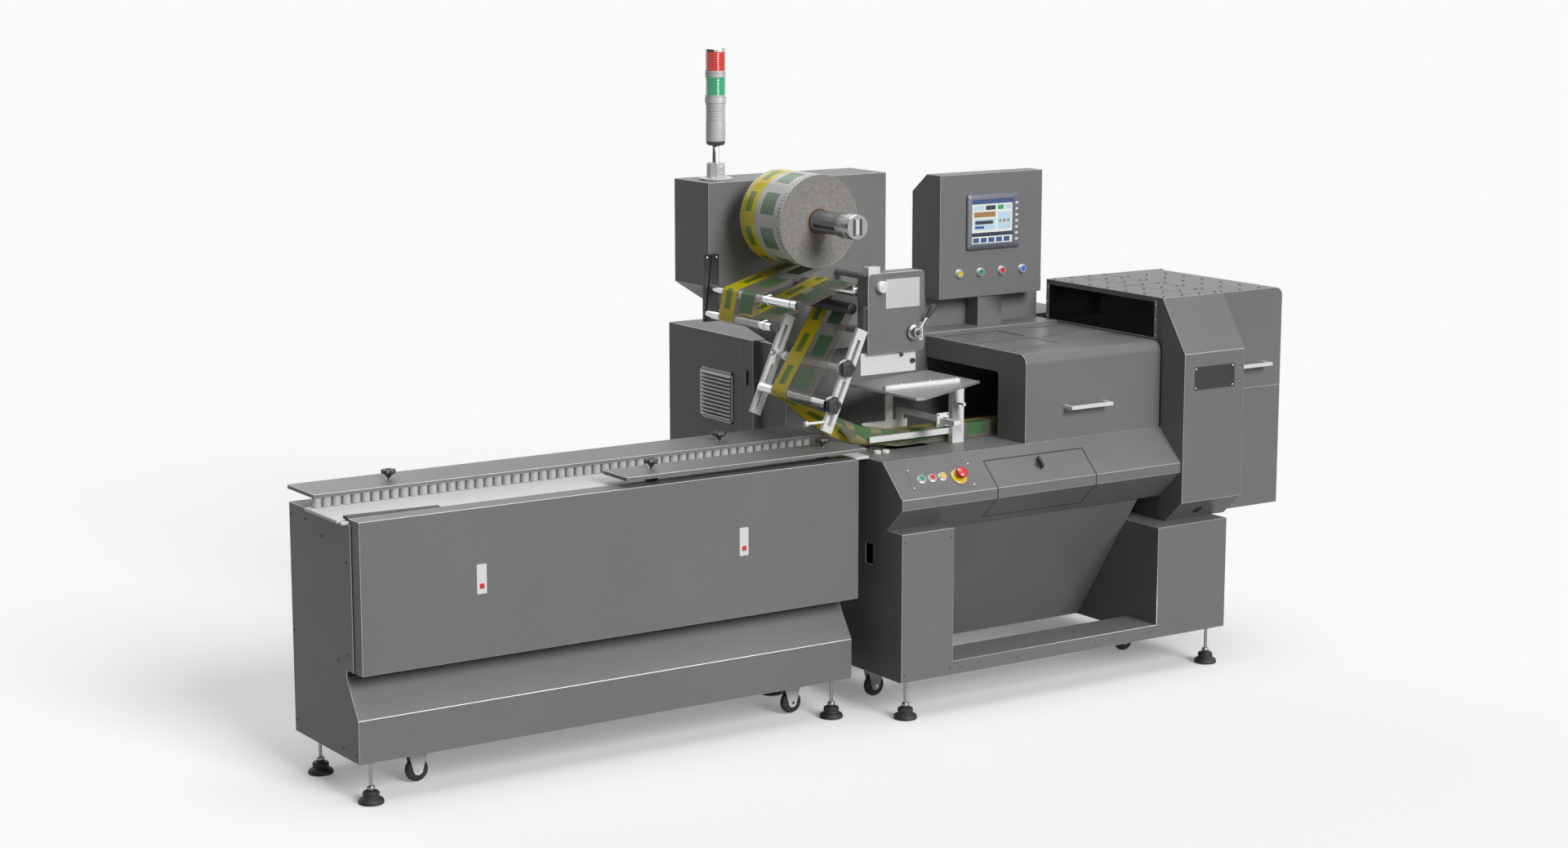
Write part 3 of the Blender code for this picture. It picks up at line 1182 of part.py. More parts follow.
def signal_tower():
    x, y = TOWER
    outline = (
        (0.055, 0.0),
        (0.055, 0.0077),
        (0.030, 0.0107),
        (0.030, 0.0557),
        (0.012, 0.0577),
        (0.012, 0.1127),
        (0.028, 0.1147),
        (0.032, 0.1267),
        (0.032, 0.2507),
        (0.035, 0.2527),
        (0.035, GREEN_Z[0] - GAP - TOWER_FOOT),
    )
    make("tower_base", "bright", lambda bm: add_turned(bm, outline, (x, y, TOWER_FOOT), "z", 20))
    for name, colour, (low, high) in (("green_lens", "green", GREEN_Z), ("red_lens", "red", RED_Z)):
        make(name, colour, rods((LENS_RADIUS, low, high - GAP, (x, y), "z", 20)))


def build():
    infeed_frame()
    infeed_front_cover()
    infeed_bed()
    guide_plate("rear_guide_plate", REAR_PLATE_X, REAR_PLATE_Y, REAR_KNOBS, REAR_POST_Y, DECK_TOP + GAP)
    guide_plate("front_guide_plate", FRONT_PLATE_X, FRONT_PLATE_Y, FRONT_KNOBS, FRONT_POST_Y, BED_TOP + GAP)
    guide_roller_rail()
    infeed_drive()
    underframes()
    base_frame()
    belly_panel()
    main_body()
    beam_door()
    console_buttons()
    backbone_wall()
    electrical_cabinet()
    fin_seal_hood()
    discharge_housing()
    end_seal_cover()
    column_cover()
    jaws()
    fin_wheels()
    control_box()
    film_box()
    reel()
    roller_bars()
    tension_gearbox()
    forming_frame()
    forming_plate()
    film_web()
    signal_tower()


clear_scene()
MACHINE = bpy.data.objects.new("machine", None)
bpy.context.scene.collection.objects.link(MACHINE)
MACHINE.location = (-(BED_X[0] + HOUSING_X[1]) / 2, -(COLUMN[1][0] + CABINET_Y[1]) / 2, 0.0)
build()
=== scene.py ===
"""Looks of the horizontal flow wrapper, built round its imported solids.

Details are written in machine coordinates, in metres: X runs with the product, Y into the depth and
Z up from the floor. SHIFT brings them into the frame's own coordinates.
"""

import itertools
import json
import math

import bmesh
import bpy
from mathutils import Matrix, Vector


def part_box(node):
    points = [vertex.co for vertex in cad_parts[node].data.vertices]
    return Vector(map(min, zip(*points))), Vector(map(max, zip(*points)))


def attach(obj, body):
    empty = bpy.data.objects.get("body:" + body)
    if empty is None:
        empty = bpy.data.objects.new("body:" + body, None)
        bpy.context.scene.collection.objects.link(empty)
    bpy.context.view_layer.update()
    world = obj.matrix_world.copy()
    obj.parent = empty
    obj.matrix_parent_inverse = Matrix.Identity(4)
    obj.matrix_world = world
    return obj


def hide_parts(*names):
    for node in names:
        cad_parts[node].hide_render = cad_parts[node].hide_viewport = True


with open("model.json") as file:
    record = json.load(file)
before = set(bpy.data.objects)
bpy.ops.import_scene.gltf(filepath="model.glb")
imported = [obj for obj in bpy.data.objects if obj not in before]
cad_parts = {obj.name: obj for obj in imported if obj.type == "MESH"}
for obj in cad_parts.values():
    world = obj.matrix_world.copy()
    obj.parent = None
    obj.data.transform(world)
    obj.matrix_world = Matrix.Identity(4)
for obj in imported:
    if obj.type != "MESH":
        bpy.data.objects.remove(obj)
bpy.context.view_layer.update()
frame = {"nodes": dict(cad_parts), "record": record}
NODES = frame["nodes"]
BEHAVIOUR = frame["record"]["behaviour"]
BODY = {node: body for body, nodes in BEHAVIOUR["bodies"].items() for node in nodes}
SLOT = {part["node"]: part["material_slot"] for part in frame["record"]["subparts"]}
ROOT = BODY["main_body"]

# ---- machine coordinates
BODY_LEFT = 1.822
CONSOLE_NOSE = -0.195
SHIFT = Vector((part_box("main_body")[0].x - BODY_LEFT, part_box("main_body")[0].y - CONSOLE_NOSE, 0.0))
DECK = 0.85
GUIDE_TOP = 0.902
HOOD_PANELS = (
    ((2.44, 0.075), (2.69, 0.235)), ((2.725, 0.075), (2.975, 0.235)), ((2.44, 0.275), (2.69, 0.43)),
    ((2.725, 0.275), (2.975, 0.43)))
HOOD_FRONT = -0.083
HOUSING_TOP = 1.298
LANE = 0.144
SHARP = math.radians(28)  # edges flatter than this aren't rounded

# ---- materials


def math_node(tree, operation, first, second=0.0):
    node = tree.nodes.new("ShaderNodeMath")
    node.operation = operation
    for socket, value in zip(node.inputs, (first, second)):
        if isinstance(value, (int, float)):
            socket.default_value = value
        else:
            tree.links.new(value, socket)
    return node.outputs[0]


def mix_colour(tree, share, first, second):
    node = tree.nodes.new("ShaderNodeMix")
    node.data_type = "RGBA"
    for socket, value in zip((node.inputs[0], node.inputs[6], node.inputs[7]), (share, first, second)):
        if isinstance(value, bpy.types.NodeSocket):
            tree.links.new(value, socket)
        elif isinstance(value, float):
            socket.default_value = value
        else:
            socket.default_value = (*value, 1.0)
    return node.outputs[2]


def noise_node(tree, scale, stretch=(1.0, 1.0, 1.0), detail=4.0, rough=0.6):
    """Noise in the piece's own coordinates, in metres, so that it stays on the piece as it moves."""
    coordinates = tree.nodes.new("ShaderNodeTexCoord")
    mapping = tree.nodes.new("ShaderNodeMapping")
    mapping.inputs["Scale"].default_value = stretch
    tree.links.new(coordinates.outputs["Object"], mapping.inputs["Vector"])
    noise = tree.nodes.new("ShaderNodeTexNoise")
    noise.inputs["Scale"].default_value = scale
    noise.inputs["Detail"].default_value = detail
    noise.inputs["Roughness"].default_value = rough
    tree.links.new(mapping.outputs["Vector"], noise.inputs["Vector"])
    return noise.outputs["Fac"]


def spread(tree, value, low, high):
    """Noise, which stays near its middle, stretched to run from low to high."""
    node = tree.nodes.new("ShaderNodeMapRange")
    tree.links.new(value, node.inputs["Value"])
    node.inputs["From Min"].default_value = 0.3
    node.inputs["From Max"].default_value = 0.7
    node.inputs["To Min"].default_value = low
    node.inputs["To Max"].default_value = high
    return node.outputs["Result"]


def finish(
    name, colour, roughness, metallic=0.0, vary=0.06, grain=400.0, stretch=(1.0, 1.0, 1.0), bump=0.1, **sockets
):
    """A finish whose colour, roughness and surface vary: grain is its finest scale, bump its depth in mm."""
    material = bpy.data.materials.new(name)
    material.use_nodes = True
    tree = material.node_tree
    shader = tree.nodes["Principled BSDF"]
    fine = noise_node(tree, grain, stretch)
    broad = noise_node(tree, 3.0, detail=3.0)
    light = tuple(min(1.0, c * (1 + vary)) for c in colour)
    dark = tuple(c * (1 - vary) for c in colour)
    both = math_node(tree, "ADD", math_node(tree, "MULTIPLY", fine, 0.75), math_node(tree, "MULTIPLY", broad, 0.25))
    tree.links.new(mix_colour(tree, spread(tree, both, 0.0, 1.0), dark, light), shader.inputs["Base Color"])
    rough = spread(tree, both, roughness * 0.85, min(1.0, roughness * 1.15))
    tree.links.new(rough, shader.inputs["Roughness"])
    shader.inputs["Metallic"].default_value = metallic
    node = tree.nodes.new("ShaderNodeBump")
    node.inputs["Strength"].default_value = 0.5
    node.inputs["Distance"].default_value = bump / 1000
    tree.links.new(fine, node.inputs["Height"])
    tree.links.new(node.outputs["Normal"], shader.inputs["Normal"])
    for socket, value in sockets.items():
        shader.inputs[socket.replace("_", " ")].default_value = value
    return material


STEEL = finish("brushed sheet", (0.205, 0.205, 0.205), 0.38, 0.03, 0.12, 260.0, (0.5, 1.0, 1.3), 0.04, IOR=1.25)
# Painted highlight: a lighter steel for the rounded edges of steel parts, standing for the light they catch.
EDGE = finish("painted edge highlight", (0.48, 0.48, 0.48), 0.3, 0.4, 0.12, 300.0, bump=0.03)
# Dark steel for screws and seams; also painted shade on recess walls, under the hood panels' front edges and in the
# idler bars' grooves.
DARK_STEEL_AND_PAINTED_SHADE = finish("dark sheet and painted shade", (0.075, 0.075, 0.075), 0.5, 0.1, 0.08, 260.0, bump=0.04)
WHITE = finish("white enamel", (0.82, 0.82, 0.81), 0.32, 0.0, 0.02, 120.0, bump=0.02, Coat_Weight=0.3)
BRIGHT = finish("ground aluminium", (0.72, 0.72, 0.72), 0.34, 0.55, 0.08, 700.0, (0.1, 1.0, 1.0), 0.04)
GREY_METAL = finish("sanded plate", (0.34, 0.34, 0.34), 0.42, 0.35, 0.25, 420.0, bump=0.06)
CHROME = finish("chrome plate", (0.62, 0.62, 0.63), 0.16, 0.95, 0.05, 90.0, bump=0.01)
SATIN = finish("satin steel", (0.3, 0.3, 0.31), 0.24, 0.85, 0.1, 240.0, (1.0, 0.2, 1.0), 0.02)
# Black plastic; also painted shade in the bed's slot, in the column's foot hole and behind the cabinet's louvre.
BLACK = finish("black plastic and painted shade", (0.018, 0.018, 0.018), 0.42, 0.0, 0.2, 900.0, bump=0.05)
# Black rubber for pads, tyres, a roller and a grip; also a painted shadow strip on the infeed bed.
RUBBER_AND_PAINTED_SHADOW = finish("black rubber and painted shadow", (0.014, 0.014, 0.014), 0.62, 0.0, 0.25, 500.0, bump=0.08)
ROLLER = finish("roller plastic", (0.46, 0.46, 0.45), 0.4, 0.05, 0.05, 300.0, bump=0.03)
SLAB = finish("white bed plastic", (0.74, 0.74, 0.73), 0.45, 0.0, 0.04, 160.0, (0.2, 1.0, 1.0), 0.05)
RED = finish("red plastic", (0.72, 0.01, 0.012), 0.32, 0.0, 0.06, 200.0, bump=0.02, Coat_Weight=0.4)
GREEN = finish("green plastic", (0.008, 0.3, 0.17), 0.32, 0.0, 0.06, 200.0, bump=0.02, Coat_Weight=0.4)
YELLOW = finish("yellow plastic", (0.82, 0.56, 0.01), 0.32, 0.0, 0.06, 200.0, bump=0.02, Coat_Weight=0.4)
BLUE = finish("blue plastic", (0.03, 0.2, 0.74), 0.32, 0.0, 0.06, 200.0, bump=0.02, Coat_Weight=0.4)
IRON = finish("machined iron", (0.09, 0.09, 0.09), 0.45, 0.6, 0.2, 250.0, bump=0.08)
PAPER = finish("cardboard core", (0.3, 0.19, 0.13), 0.8, 0.0, 0.15, 300.0, bump=0.1)
PLATE_GREY = finish("label plate", (0.55, 0.55, 0.55), 0.4, 0.2, 0.03, 300.0, bump=0.02)
BADGE = finish("bare badge", (0.018, 0.018, 0.018), 0.38, 0.1, 0.05, 300.0, bump=0.02)
TOWER_GREY = finish("tower plastic", (0.6, 0.6, 0.6), 0.38, 0.1, 0.04, 300.0, bump=0.02)
SMOKED = finish(
    "smoked pane", (0.006, 0.006, 0.006), 0.1, 0.0, 0.05, 30.0, bump=0.005, Alpha=0.9, Specular_IOR_Level=0.2)
BEZEL = finish("panel bezel", (0.16, 0.17, 0.2), 0.35, 0.2, 0.05, 300.0, bump=0.02)
LENS_RED = finish("red lens", (0.8, 0.03, 0.015), 0.15, 0.0, 0.08, 60.0, bump=0.02, Coat_Weight=0.6)
LENS_GREEN = finish("green lens", (0.03, 0.5, 0.22), 0.15, 0.0, 0.08, 60.0, bump=0.02, Coat_Weight=0.6)


def end_face():
    """The end of a wound roll: grey, mottled by fibres, in fine rings."""
    material = finish("wound edge", (0.21, 0.205, 0.2), 0.8, 0.0, 0.35, 160.0, bump=0.3, IOR=1.25)
    tree = material.node_tree
    shader = tree.nodes["Principled BSDF"]
    base = shader.inputs["Base Color"].links[0].from_socket
    blotch = spread(tree, noise_node(tree, 75.0, detail=6.0, rough=0.75), 0.0, 1.0)
    tree.links.new(mix_colour(tree, blotch, base, (0.37, 0.35, 0.315)), shader.inputs["Base Color"])
    return material


WOUND = end_face()


def inside(tree, value, low, high):
    """1 where value lies between low and high."""
    above = math_node(tree, "GREATER_THAN", value, low)
    return math_node(tree, "MULTIPLY", above, math_node(tree, "LESS_THAN", value, high))


WEB_WIDTH = 0.235
REPEAT = 0.12  # length of one printed repeat
# share across from the rear edge, share along one repeat: low and high of each
GREEN_BLOCKS = (((0.13, 0.27), (0.2, 0.78)), ((0.5, 0.82), (0.16, 0.8)))
YELLOW_BAND = (0.03, 0.385)
DARK_TICKS = ((0.0, 0.018), (0.93, 0.955))


def printed(name, clear, opaque):
    """Film printed with plain bands and blocks, read from the sheet's own along and across values."""
    material = finish(name, clear, 0.25, 0.0, 0.05, 200.0, bump=0.02, IOR=1.3)
    tree = material.node_tree
    shader = tree.nodes["Principled BSDF"]
    values = []
    for attribute in ("along", "across"):
        node = tree.nodes.new("ShaderNodeAttribute")
        node.attribute_name = attribute
        values.append(node.outputs["Fac"])
    along, across = values
    step = math_node(tree, "FRACT", math_node(tree, "DIVIDE", along, REPEAT))
    base = shader.inputs["Base Color"].links[0].from_socket
    band = inside(tree, across, *YELLOW_BAND)
    colour = mix_colour(tree, band, base, (0.76, 0.62, 0.0))
    ink = band
    speckle = spread(tree, noise_node(tree, 900.0, detail=2.0), 0.55, 1.0)
    for (low, high), (first, last) in GREEN_BLOCKS:
        block = math_node(tree, "MULTIPLY", inside(tree, across, low, high), inside(tree, step, first, last))
        colour = mix_colour(tree, math_node(tree, "MULTIPLY", block, speckle), colour, (0.012, 0.17, 0.03))
        ink = math_node(tree, "MAXIMUM", ink, block)
    ticks = math_node(tree, "FRACT", math_node(tree, "DIVIDE", along, REPEAT / 9))
    for low, high in DARK_TICKS:
        mark = math_node(tree, "MULTIPLY", inside(tree, across, low, high), inside(tree, ticks, 0.0, 0.45))
        mark = math_node(tree, "MULTIPLY", mark, inside(tree, step, 0.1, 0.85))
        colour = mix_colour(tree, mark, colour, (0.02, 0.03, 0.03))
    tree.links.new(colour, shader.inputs["Base Color"])
    if not opaque:
        cover = math_node(tree, "ADD", math_node(tree, "MULTIPLY", ink, 0.55), 0.28)
        tree.links.new(cover, shader.inputs["Alpha"])
    return material


PRINT = printed("printed roll", (0.66, 0.66, 0.64), True)
FILM = printed("printed film", (0.4, 0.37, 0.32), False)

# ---- shapes, added to a bmesh


def box(bm, low, high):
    corner = Vector(low)
    size = Vector(high) - corner
    bmesh.ops.create_cube(
        bm, size=1.0, matrix=Matrix.Translation(corner + size / 2) @ Matrix.Diagonal((*size, 1.0)))


def prism(bm, outline, axis, start, end):
    """A closed outline of two-coordinate points, extruded along the axis that it leaves out."""
    index = "xyz".index(axis)

    def ring(along):
        spots = [[*pair[:index], along, *pair[index:]] for pair in outline]
        return [bm.verts.new(spot) for spot in spots]

    first, last = ring(start), ring(end)
    bm.faces.new(first)
    bm.faces.new(last)
    for here in range(len(outline)):
        after = (here + 1) % len(outline)
        bm.faces.new((first[here], first[after], last[after], last[here]))


def turned(bm, outline, centre, axis="z", steps=28, lobes=0, depth=0.0):
    """A solid turned round an axis through centre; outline lists (radius, distance along the axis).
    An outline that ends where it starts makes a hollow ring."""
    hollow = outline[0] == outline[-1]
    index = "xyz".index(axis)
    across = [i for i in range(3) if i != index]
    rings = []
    for radius, along in outline[:-1] if hollow else outline:
        ring = []
        for step in range(steps if radius > 0 else 1):
            angle = 2 * math.pi * (step + 0.5) / steps
            reach = radius * (1 + depth * math.cos(lobes * angle))
            spot = list(centre)
            spot[index] += along
            spot[across[0]] += reach * math.cos(angle)
            spot[across[1]] += reach * math.sin(angle)
            ring.append(bm.verts.new(spot))
        rings.append(ring)
    for below, above in zip(rings, rings[1:] + rings[: int(hollow)]):
        for step in range(steps):
            after = (step + 1) % steps
            corners = [
                ring[turn % len(ring)]
                for ring, turn in ((below, step), (below, after), (above, after), (above, step))]
            bm.faces.new(list(dict.fromkeys(corners)))
    for ring in () if hollow else (rings[0], rings[-1]):
        if len(ring) > 1:
            bm.faces.new(ring)


def arc(centre, radius, first, last, steps):
    angles = [math.radians(first + (last - first) * i / steps) for i in range(steps + 1)]
    return [(centre[0] + radius * math.cos(a), centre[1] + radius * math.sin(a)) for a in angles]


def rounded(low, high, radius, steps=4):
    """A rectangle with round corners, as an outline."""
    (left, foot), (right, top) = low, high
    corners = ((right, top, 0, -1, -1), (left, top, 90, 1, -1), (left, foot, 180, 1, 1), (right, foot, 270, -1, 1))
    return [
        spot for x, z, start, dx, dz in corners
        for spot in arc((x + dx * radius, z + dz * radius), radius, start, start + 90, steps)]


def knob(bm, centre, axis, radius, height, way=1, lobes=5):
    """A star grip on its hub, standing out from centre along the axis."""
    shape = (
        (0.42, 0.0), (0.42, 0.3), (0.9, 0.36), (1.0, 0.48), (1.0, 0.82), (0.9, 0.97), (0.5, 1.0), (0.42, 0.9),
        (0.0, 0.9))
    turned(bm, [(r * radius, way * h * height) for r, h in shape], centre, axis, 40, lobes, 0.1)


def screw(bm, centre, axis, radius=0.0035, way=1):
    """A button-head screw with a twelve-sided socket."""
    shape = ((1.0, -0.1), (1.0, 0.15), (0.85, 0.45), (0.55, 0.6), (0.5, 0.2), (0.0, 0.2))
    turned(bm, [(r * radius, way * h * radius) for r, h in shape], centre, axis, 12)


def hexagon(bm, centre, axis, radius, start, end):
    profile = ((radius * 0.92, start), (radius, start + 0.001), (radius, end - 0.001), (radius * 0.92, end))
    turned(bm, profile, centre, axis, 6)


def moved(bm, matrix, tool, *rest):
    """What tool adds, moved by a matrix."""
    before = set(bm.verts)
    tool(bm, *rest)
    bmesh.ops.transform(bm, matrix=matrix, verts=[vert for vert in bm.verts if vert not in before])


def only(tool, *rest):
    """A builder that uses one tool once."""
    return lambda bm: tool(bm, *rest)


def recess(bm, axis, level, low, high, depth):
    """Presses a rectangle of the flat face at a level of an axis inwards, in machine coordinates, and gives
    the faces round it."""
    index = "xyz".index(axis)
    across = [i for i in range(3) if i != index]
    level += SHIFT[index]
    faces = [
        f for f in bm.faces if abs(f.normal[index]) > 0.999 and abs(f.calc_center_median()[index] - level) < 0.0002]
    bounds = [[corner[k] + SHIFT[across[k]] for k in (0, 1)] for corner in (low, high)]
    for corner in bounds:
        for k in (0, 1):
            spot, normal = Vector(), Vector()
            spot[across[k]], normal[across[k]] = corner[k], 1.0
            edges = dict.fromkeys(edge for face in faces for edge in face.edges)
            verts = dict.fromkeys(vert for face in faces for vert in face.verts)
            made = bmesh.ops.bisect_plane(bm, geom=[*faces, *edges, *verts], plane_co=spot, plane_no=normal)
            faces = [item for item in made["geom"] if isinstance(item, bmesh.types.BMFace)]
    (left, foot), (right, top) = bounds
    picked = []
    for face in faces:
        middle = face.calc_center_median()
        if left < middle[across[0]] < right and foot < middle[across[1]] < top:
            picked.append(face)
    made = bmesh.ops.inset_region(
        bm, faces=picked, thickness=0.0026, depth=-depth, use_boundary=True, use_even_offset=True)
    return made["faces"]


# ---- pieces


def added(name, data):
    item = bpy.data.objects.new(name, data)
    bpy.context.scene.collection.objects.link(item)
    return item


def place(name, mesh, body, bevel=0.0, angle=35):
    """One named piece that rides on a body, with its edges rounded and its flat faces kept flat."""
    mesh.shade_smooth()
    mesh.set_sharp_from_angle(angle=math.radians(angle))
    item = added(name, mesh)
    if bevel:
        modifier = item.modifiers.new("edges", "BEVEL")
        modifier.width = bevel
        modifier.segments = 2
        modifier.limit_method = "ANGLE"
        modifier.angle_limit = math.radians(angle)
        modifier.harden_normals = True
    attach(item, body)
    return item


def settled(bm, name, materials):
    """The mesh of a bmesh in machine coordinates, brought to the frame's own."""
    bmesh.ops.recalc_face_normals(bm, faces=bm.faces)
    bmesh.ops.translate(bm, verts=bm.verts, vec=SHIFT)
    mesh = bpy.data.meshes.new(name)
    bm.to_mesh(mesh)
    bm.free()
    for material in materials:
        mesh.materials.append(material)
    return mesh


def piece(name, body, material, build, bevel=0.0, angle=35):
    """A piece from a function that fills a bmesh in machine coordinates."""
    bm = bmesh.new()
    build(bm)
    mesh = settled(bm, name, material if isinstance(material, list) else [material])
    return place(name, mesh, body, bevel, angle)


def refine(node, material, width=0.0012, drop=None, paint=(), pressed=()):
    """The CAD solid with its outer edges rounded, which stands for it; on steel the rounded edges get a painted
    highlight. Faces that drop picks are cut off and closed again, each (material, test) in paint gives the faces it
    picks another finish, and pressed lists recesses, whose walls get painted shade as a dark line round them. Both
    tests take a face's middle, in machine coordinates, and its normal."""
    bm = bmesh.new()
    bm.from_mesh(NODES[node].data)
    bmesh.ops.remove_doubles(bm, verts=bm.verts, dist=0.00001)
    if drop:
        gone = [f for f in bm.faces if drop(f.calc_center_median() - SHIFT, f.normal)]
        bmesh.ops.delete(bm, geom=gone, context="FACES")
        bmesh.ops.delete(bm, geom=[v for v in bm.verts if not v.link_faces], context="VERTS")
        bmesh.ops.holes_fill(bm, edges=[e for e in bm.edges if e.is_boundary], sides=0)
    flat = math.radians(0.6)
    bmesh.ops.dissolve_limit(bm, angle_limit=flat, verts=bm.verts, edges=bm.edges, use_dissolve_boundaries=False)
    bmesh.ops.recalc_face_normals(bm, faces=bm.faces)
    if width:
        sharp = [e for e in bm.edges if len(e.link_faces) == 2 and e.is_convex and e.calc_face_angle() > SHARP]
        made = bmesh.ops.bevel(
            bm, geom=sharp, offset=width, segments=2, profile=0.5, affect="EDGES", clamp_overlap=True)
        # Painted highlight: the rounded edges of a steel part get the lighter edge finish.
        if material is STEEL:
            for face in made["faces"]:
                face.material_index = len(paint) + 1
    # Painted shade: the walls of each pressed recess get the dark finish, a dark line round it.
    for panel in pressed:
        for face in recess(bm, *panel):
            face.material_index = len(paint) + 2
    mesh = bpy.data.meshes.new(node)
    bm.faces.ensure_lookup_table()
    for number, (_, test) in enumerate(paint):
        for face in bm.faces:
            if test(face.calc_center_median() - SHIFT, face.normal):
                face.material_index = number + 1
    bm.to_mesh(mesh)
    bm.free()
    mesh.materials.append(material)
    for other in [*(other for other, _ in paint), EDGE, *([DARK_STEEL_AND_PAINTED_SHADE] if pressed else [])]:
        mesh.materials.append(other)
    name = f"{node}_shape"
    item = place(name, mesh, BODY[node])
    normals = item.modifiers.new("flat faces", "WEIGHTED_NORMAL")
    normals.keep_sharp = True
    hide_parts(node)
    return item


def grid(*values):
    """Every spot with an x, a y and a z from three lists."""
    return list(itertools.product(*values))


def screws(name, body, material, spots, axis, radius=0.0035, way=1):
    """One piece of button-head screws."""
    return piece(name, body, material, lambda bm: [screw(bm, spot, axis, radius, way) for spot in spots])


def stand_for(item, node):
    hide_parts(node)
    return item


def stand_in(name, node, material, build, bevel=0.0, angle=35):
    """A piece that stands for a node, on its body."""
    return stand_for(piece(name, BODY[node], material, build, bevel, angle), node)


# ---- infeed table


def infeed():
    refine("infeed_frame", STEEL, 0.0014)
    refine("infeed_front_cover", STEEL, 0.0014)
    refine("infeed_bed", SLAB, 0.0015)
    left, right = -0.04, 1.728
    spots = [(0.388, z) for z in (0.815, 0.455, 0.17)] + [(0.29, 0.815), (0.17, 0.785), (0.01, 0.735)]
    spots += [(0.01, 0.455), (0.08, 0.425), (-0.03, 0.16), (0.06, 0.16)]

    def end_screws(bm):
        for y, z in spots:
            screw(bm, (left, y, z), "x", 0.0042, -1)
            screw(bm, (right, y, z), "x", 0.0042, 1)

    piece("infeed_end_screws", ROOT, DARK_STEEL_AND_PAINTED_SHADE, end_screws)
    # Painted shade: a black slab down in the bed's slot stands for the slot's dark depth.
    piece(
        "infeed_bed_slot_painted_shade", ROOT, BLACK, only(box, (-0.05, 0.0032, 0.8503), (0.269, 0.0228, 0.856)), 0.0006)
    # Painted shadow: a dark tapered strip along the front of the bed's left end, wider at the left.
    profile = [(-0.03, 0.0025), (0.269, 0.0025), (0.269, 0.024), (-0.03, 0.044)]
    piece("infeed_bed_painted_shadow", ROOT, RUBBER_AND_PAINTED_SHADOW, only(prism, profile, "z", 0.8602, 0.8688), 0.001)
    spots = grid([-0.036], [-0.05], (0.44, 0.64, 0.84))
    screws("infeed_cover_screws", BODY["infeed_front_cover"], DARK_STEEL_AND_PAINTED_SHADE, spots, "x", 0.0032, -1)
    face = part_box("infeed_front_cover")[0].y - SHIFT.y
    for name, x in (("left", 0.36), ("right", 1.291)):
        piece(
            f"cover_latch_plate_{name}", BODY["infeed_front_cover"], WHITE,
            only(
                prism, rounded((x - 0.0165, 0.605), (x + 0.0165, 0.696), 0.003), "y", face - 0.0012, face + 0.0003),
            0.0005)
        piece(
            f"cover_latch_push_{name}", BODY["infeed_front_cover"], RED,
            only(prism, rounded((x - 0.0075, 0.622), (x + 0.0075, 0.637), 0.002), "y", face - 0.0035, face - 0.001),
            0.0006)


def guides():
    def clamped(side, spots):
        node = f"{side}_guide_plate"
        body = BODY[node]
        refine(node, STEEL, 0.0012, drop=lambda c, n: c.z > GUIDE_TOP + 0.0003)
        for number, (x, y) in enumerate(spots):

            def grip(bm):
                turned(bm, ((0.0055, -0.001), (0.0055, 0.012)), (x, y, GUIDE_TOP), "z", 20)
                knob(bm, (x, y, GUIDE_TOP + 0.008), "z", 0.0215, 0.022)

            piece(f"{side}_guide_knob_{number + 1}", body, BLACK, grip)
            profile = ((0.01, -0.0004), (0.01, 0.001), (0.009, 0.0016), (0.0057, 0.0016))
            piece(
                f"{side}_guide_washer_{number + 1}", body, CHROME,
                only(turned, profile, (x, y, GUIDE_TOP), "z", 24))

    for side, low, high in (("rear", (-0.042, 0.214), (1.777, 0.407)), ("front", (0.866, -0.076), (1.763, 0.074))):

        def end_lips(bm):
            for x in (low[0] + 0.0002, high[0] - 0.0032):
                box(bm, (x, low[1] + 0.0005, GUIDE_TOP - 0.0125), (x + 0.003, high[1] - 0.0005, GUIDE_TOP - 0.0008))

        piece(f"{side}_guide_end_lips", BODY[f"{side}_guide_plate"], STEEL, end_lips, 0.0006)
    clamped("rear", ((0.253, 0.317), (1.44, 0.3)))
    clamped("front", ((1.01, 0.019), (1.656, 0.019)))
    low, high = (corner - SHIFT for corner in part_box("guide_roller_rail"))
    middle = (low.y + high.y) / 2
    pitch, radius = 0.032, 0.0138
    count = int((high.x - low.x - 0.025) / pitch) + 1
    body = BODY["guide_roller_rail"]
    stand_for(
        piece(
            "guide_rail", body, BRIGHT,
            only(box, (low.x, middle - 0.0075, high.z - 0.005), (high.x, middle + 0.0075, high.z)), 0.001),
        "guide_roller_rail")
    foot, top = low.z, high.z - 0.006
    shape = (
        (0.006, 0.0), (radius - 0.001, 0.0), (radius, 0.0012), (radius, top - foot - 0.0012),
        (radius - 0.001, top - foot), (0.004, top - foot))

    def rollers(bm):
        for number in range(count):
            turned(bm, shape, (low.x + 0.0125 + number * pitch, middle, foot), "z", 24)

    piece("guide_rollers", body, ROLLER, rollers)

    def pins(bm):
        for number in range(count):
            spot = (low.x + 0.0125 + number * pitch, middle, 0.0)
            turned(bm, ((0.003, foot + 0.001), (0.003, high.z - 0.004)), spot, "z", 10)

    piece("guide_roller_pins", body, CHROME, pins)


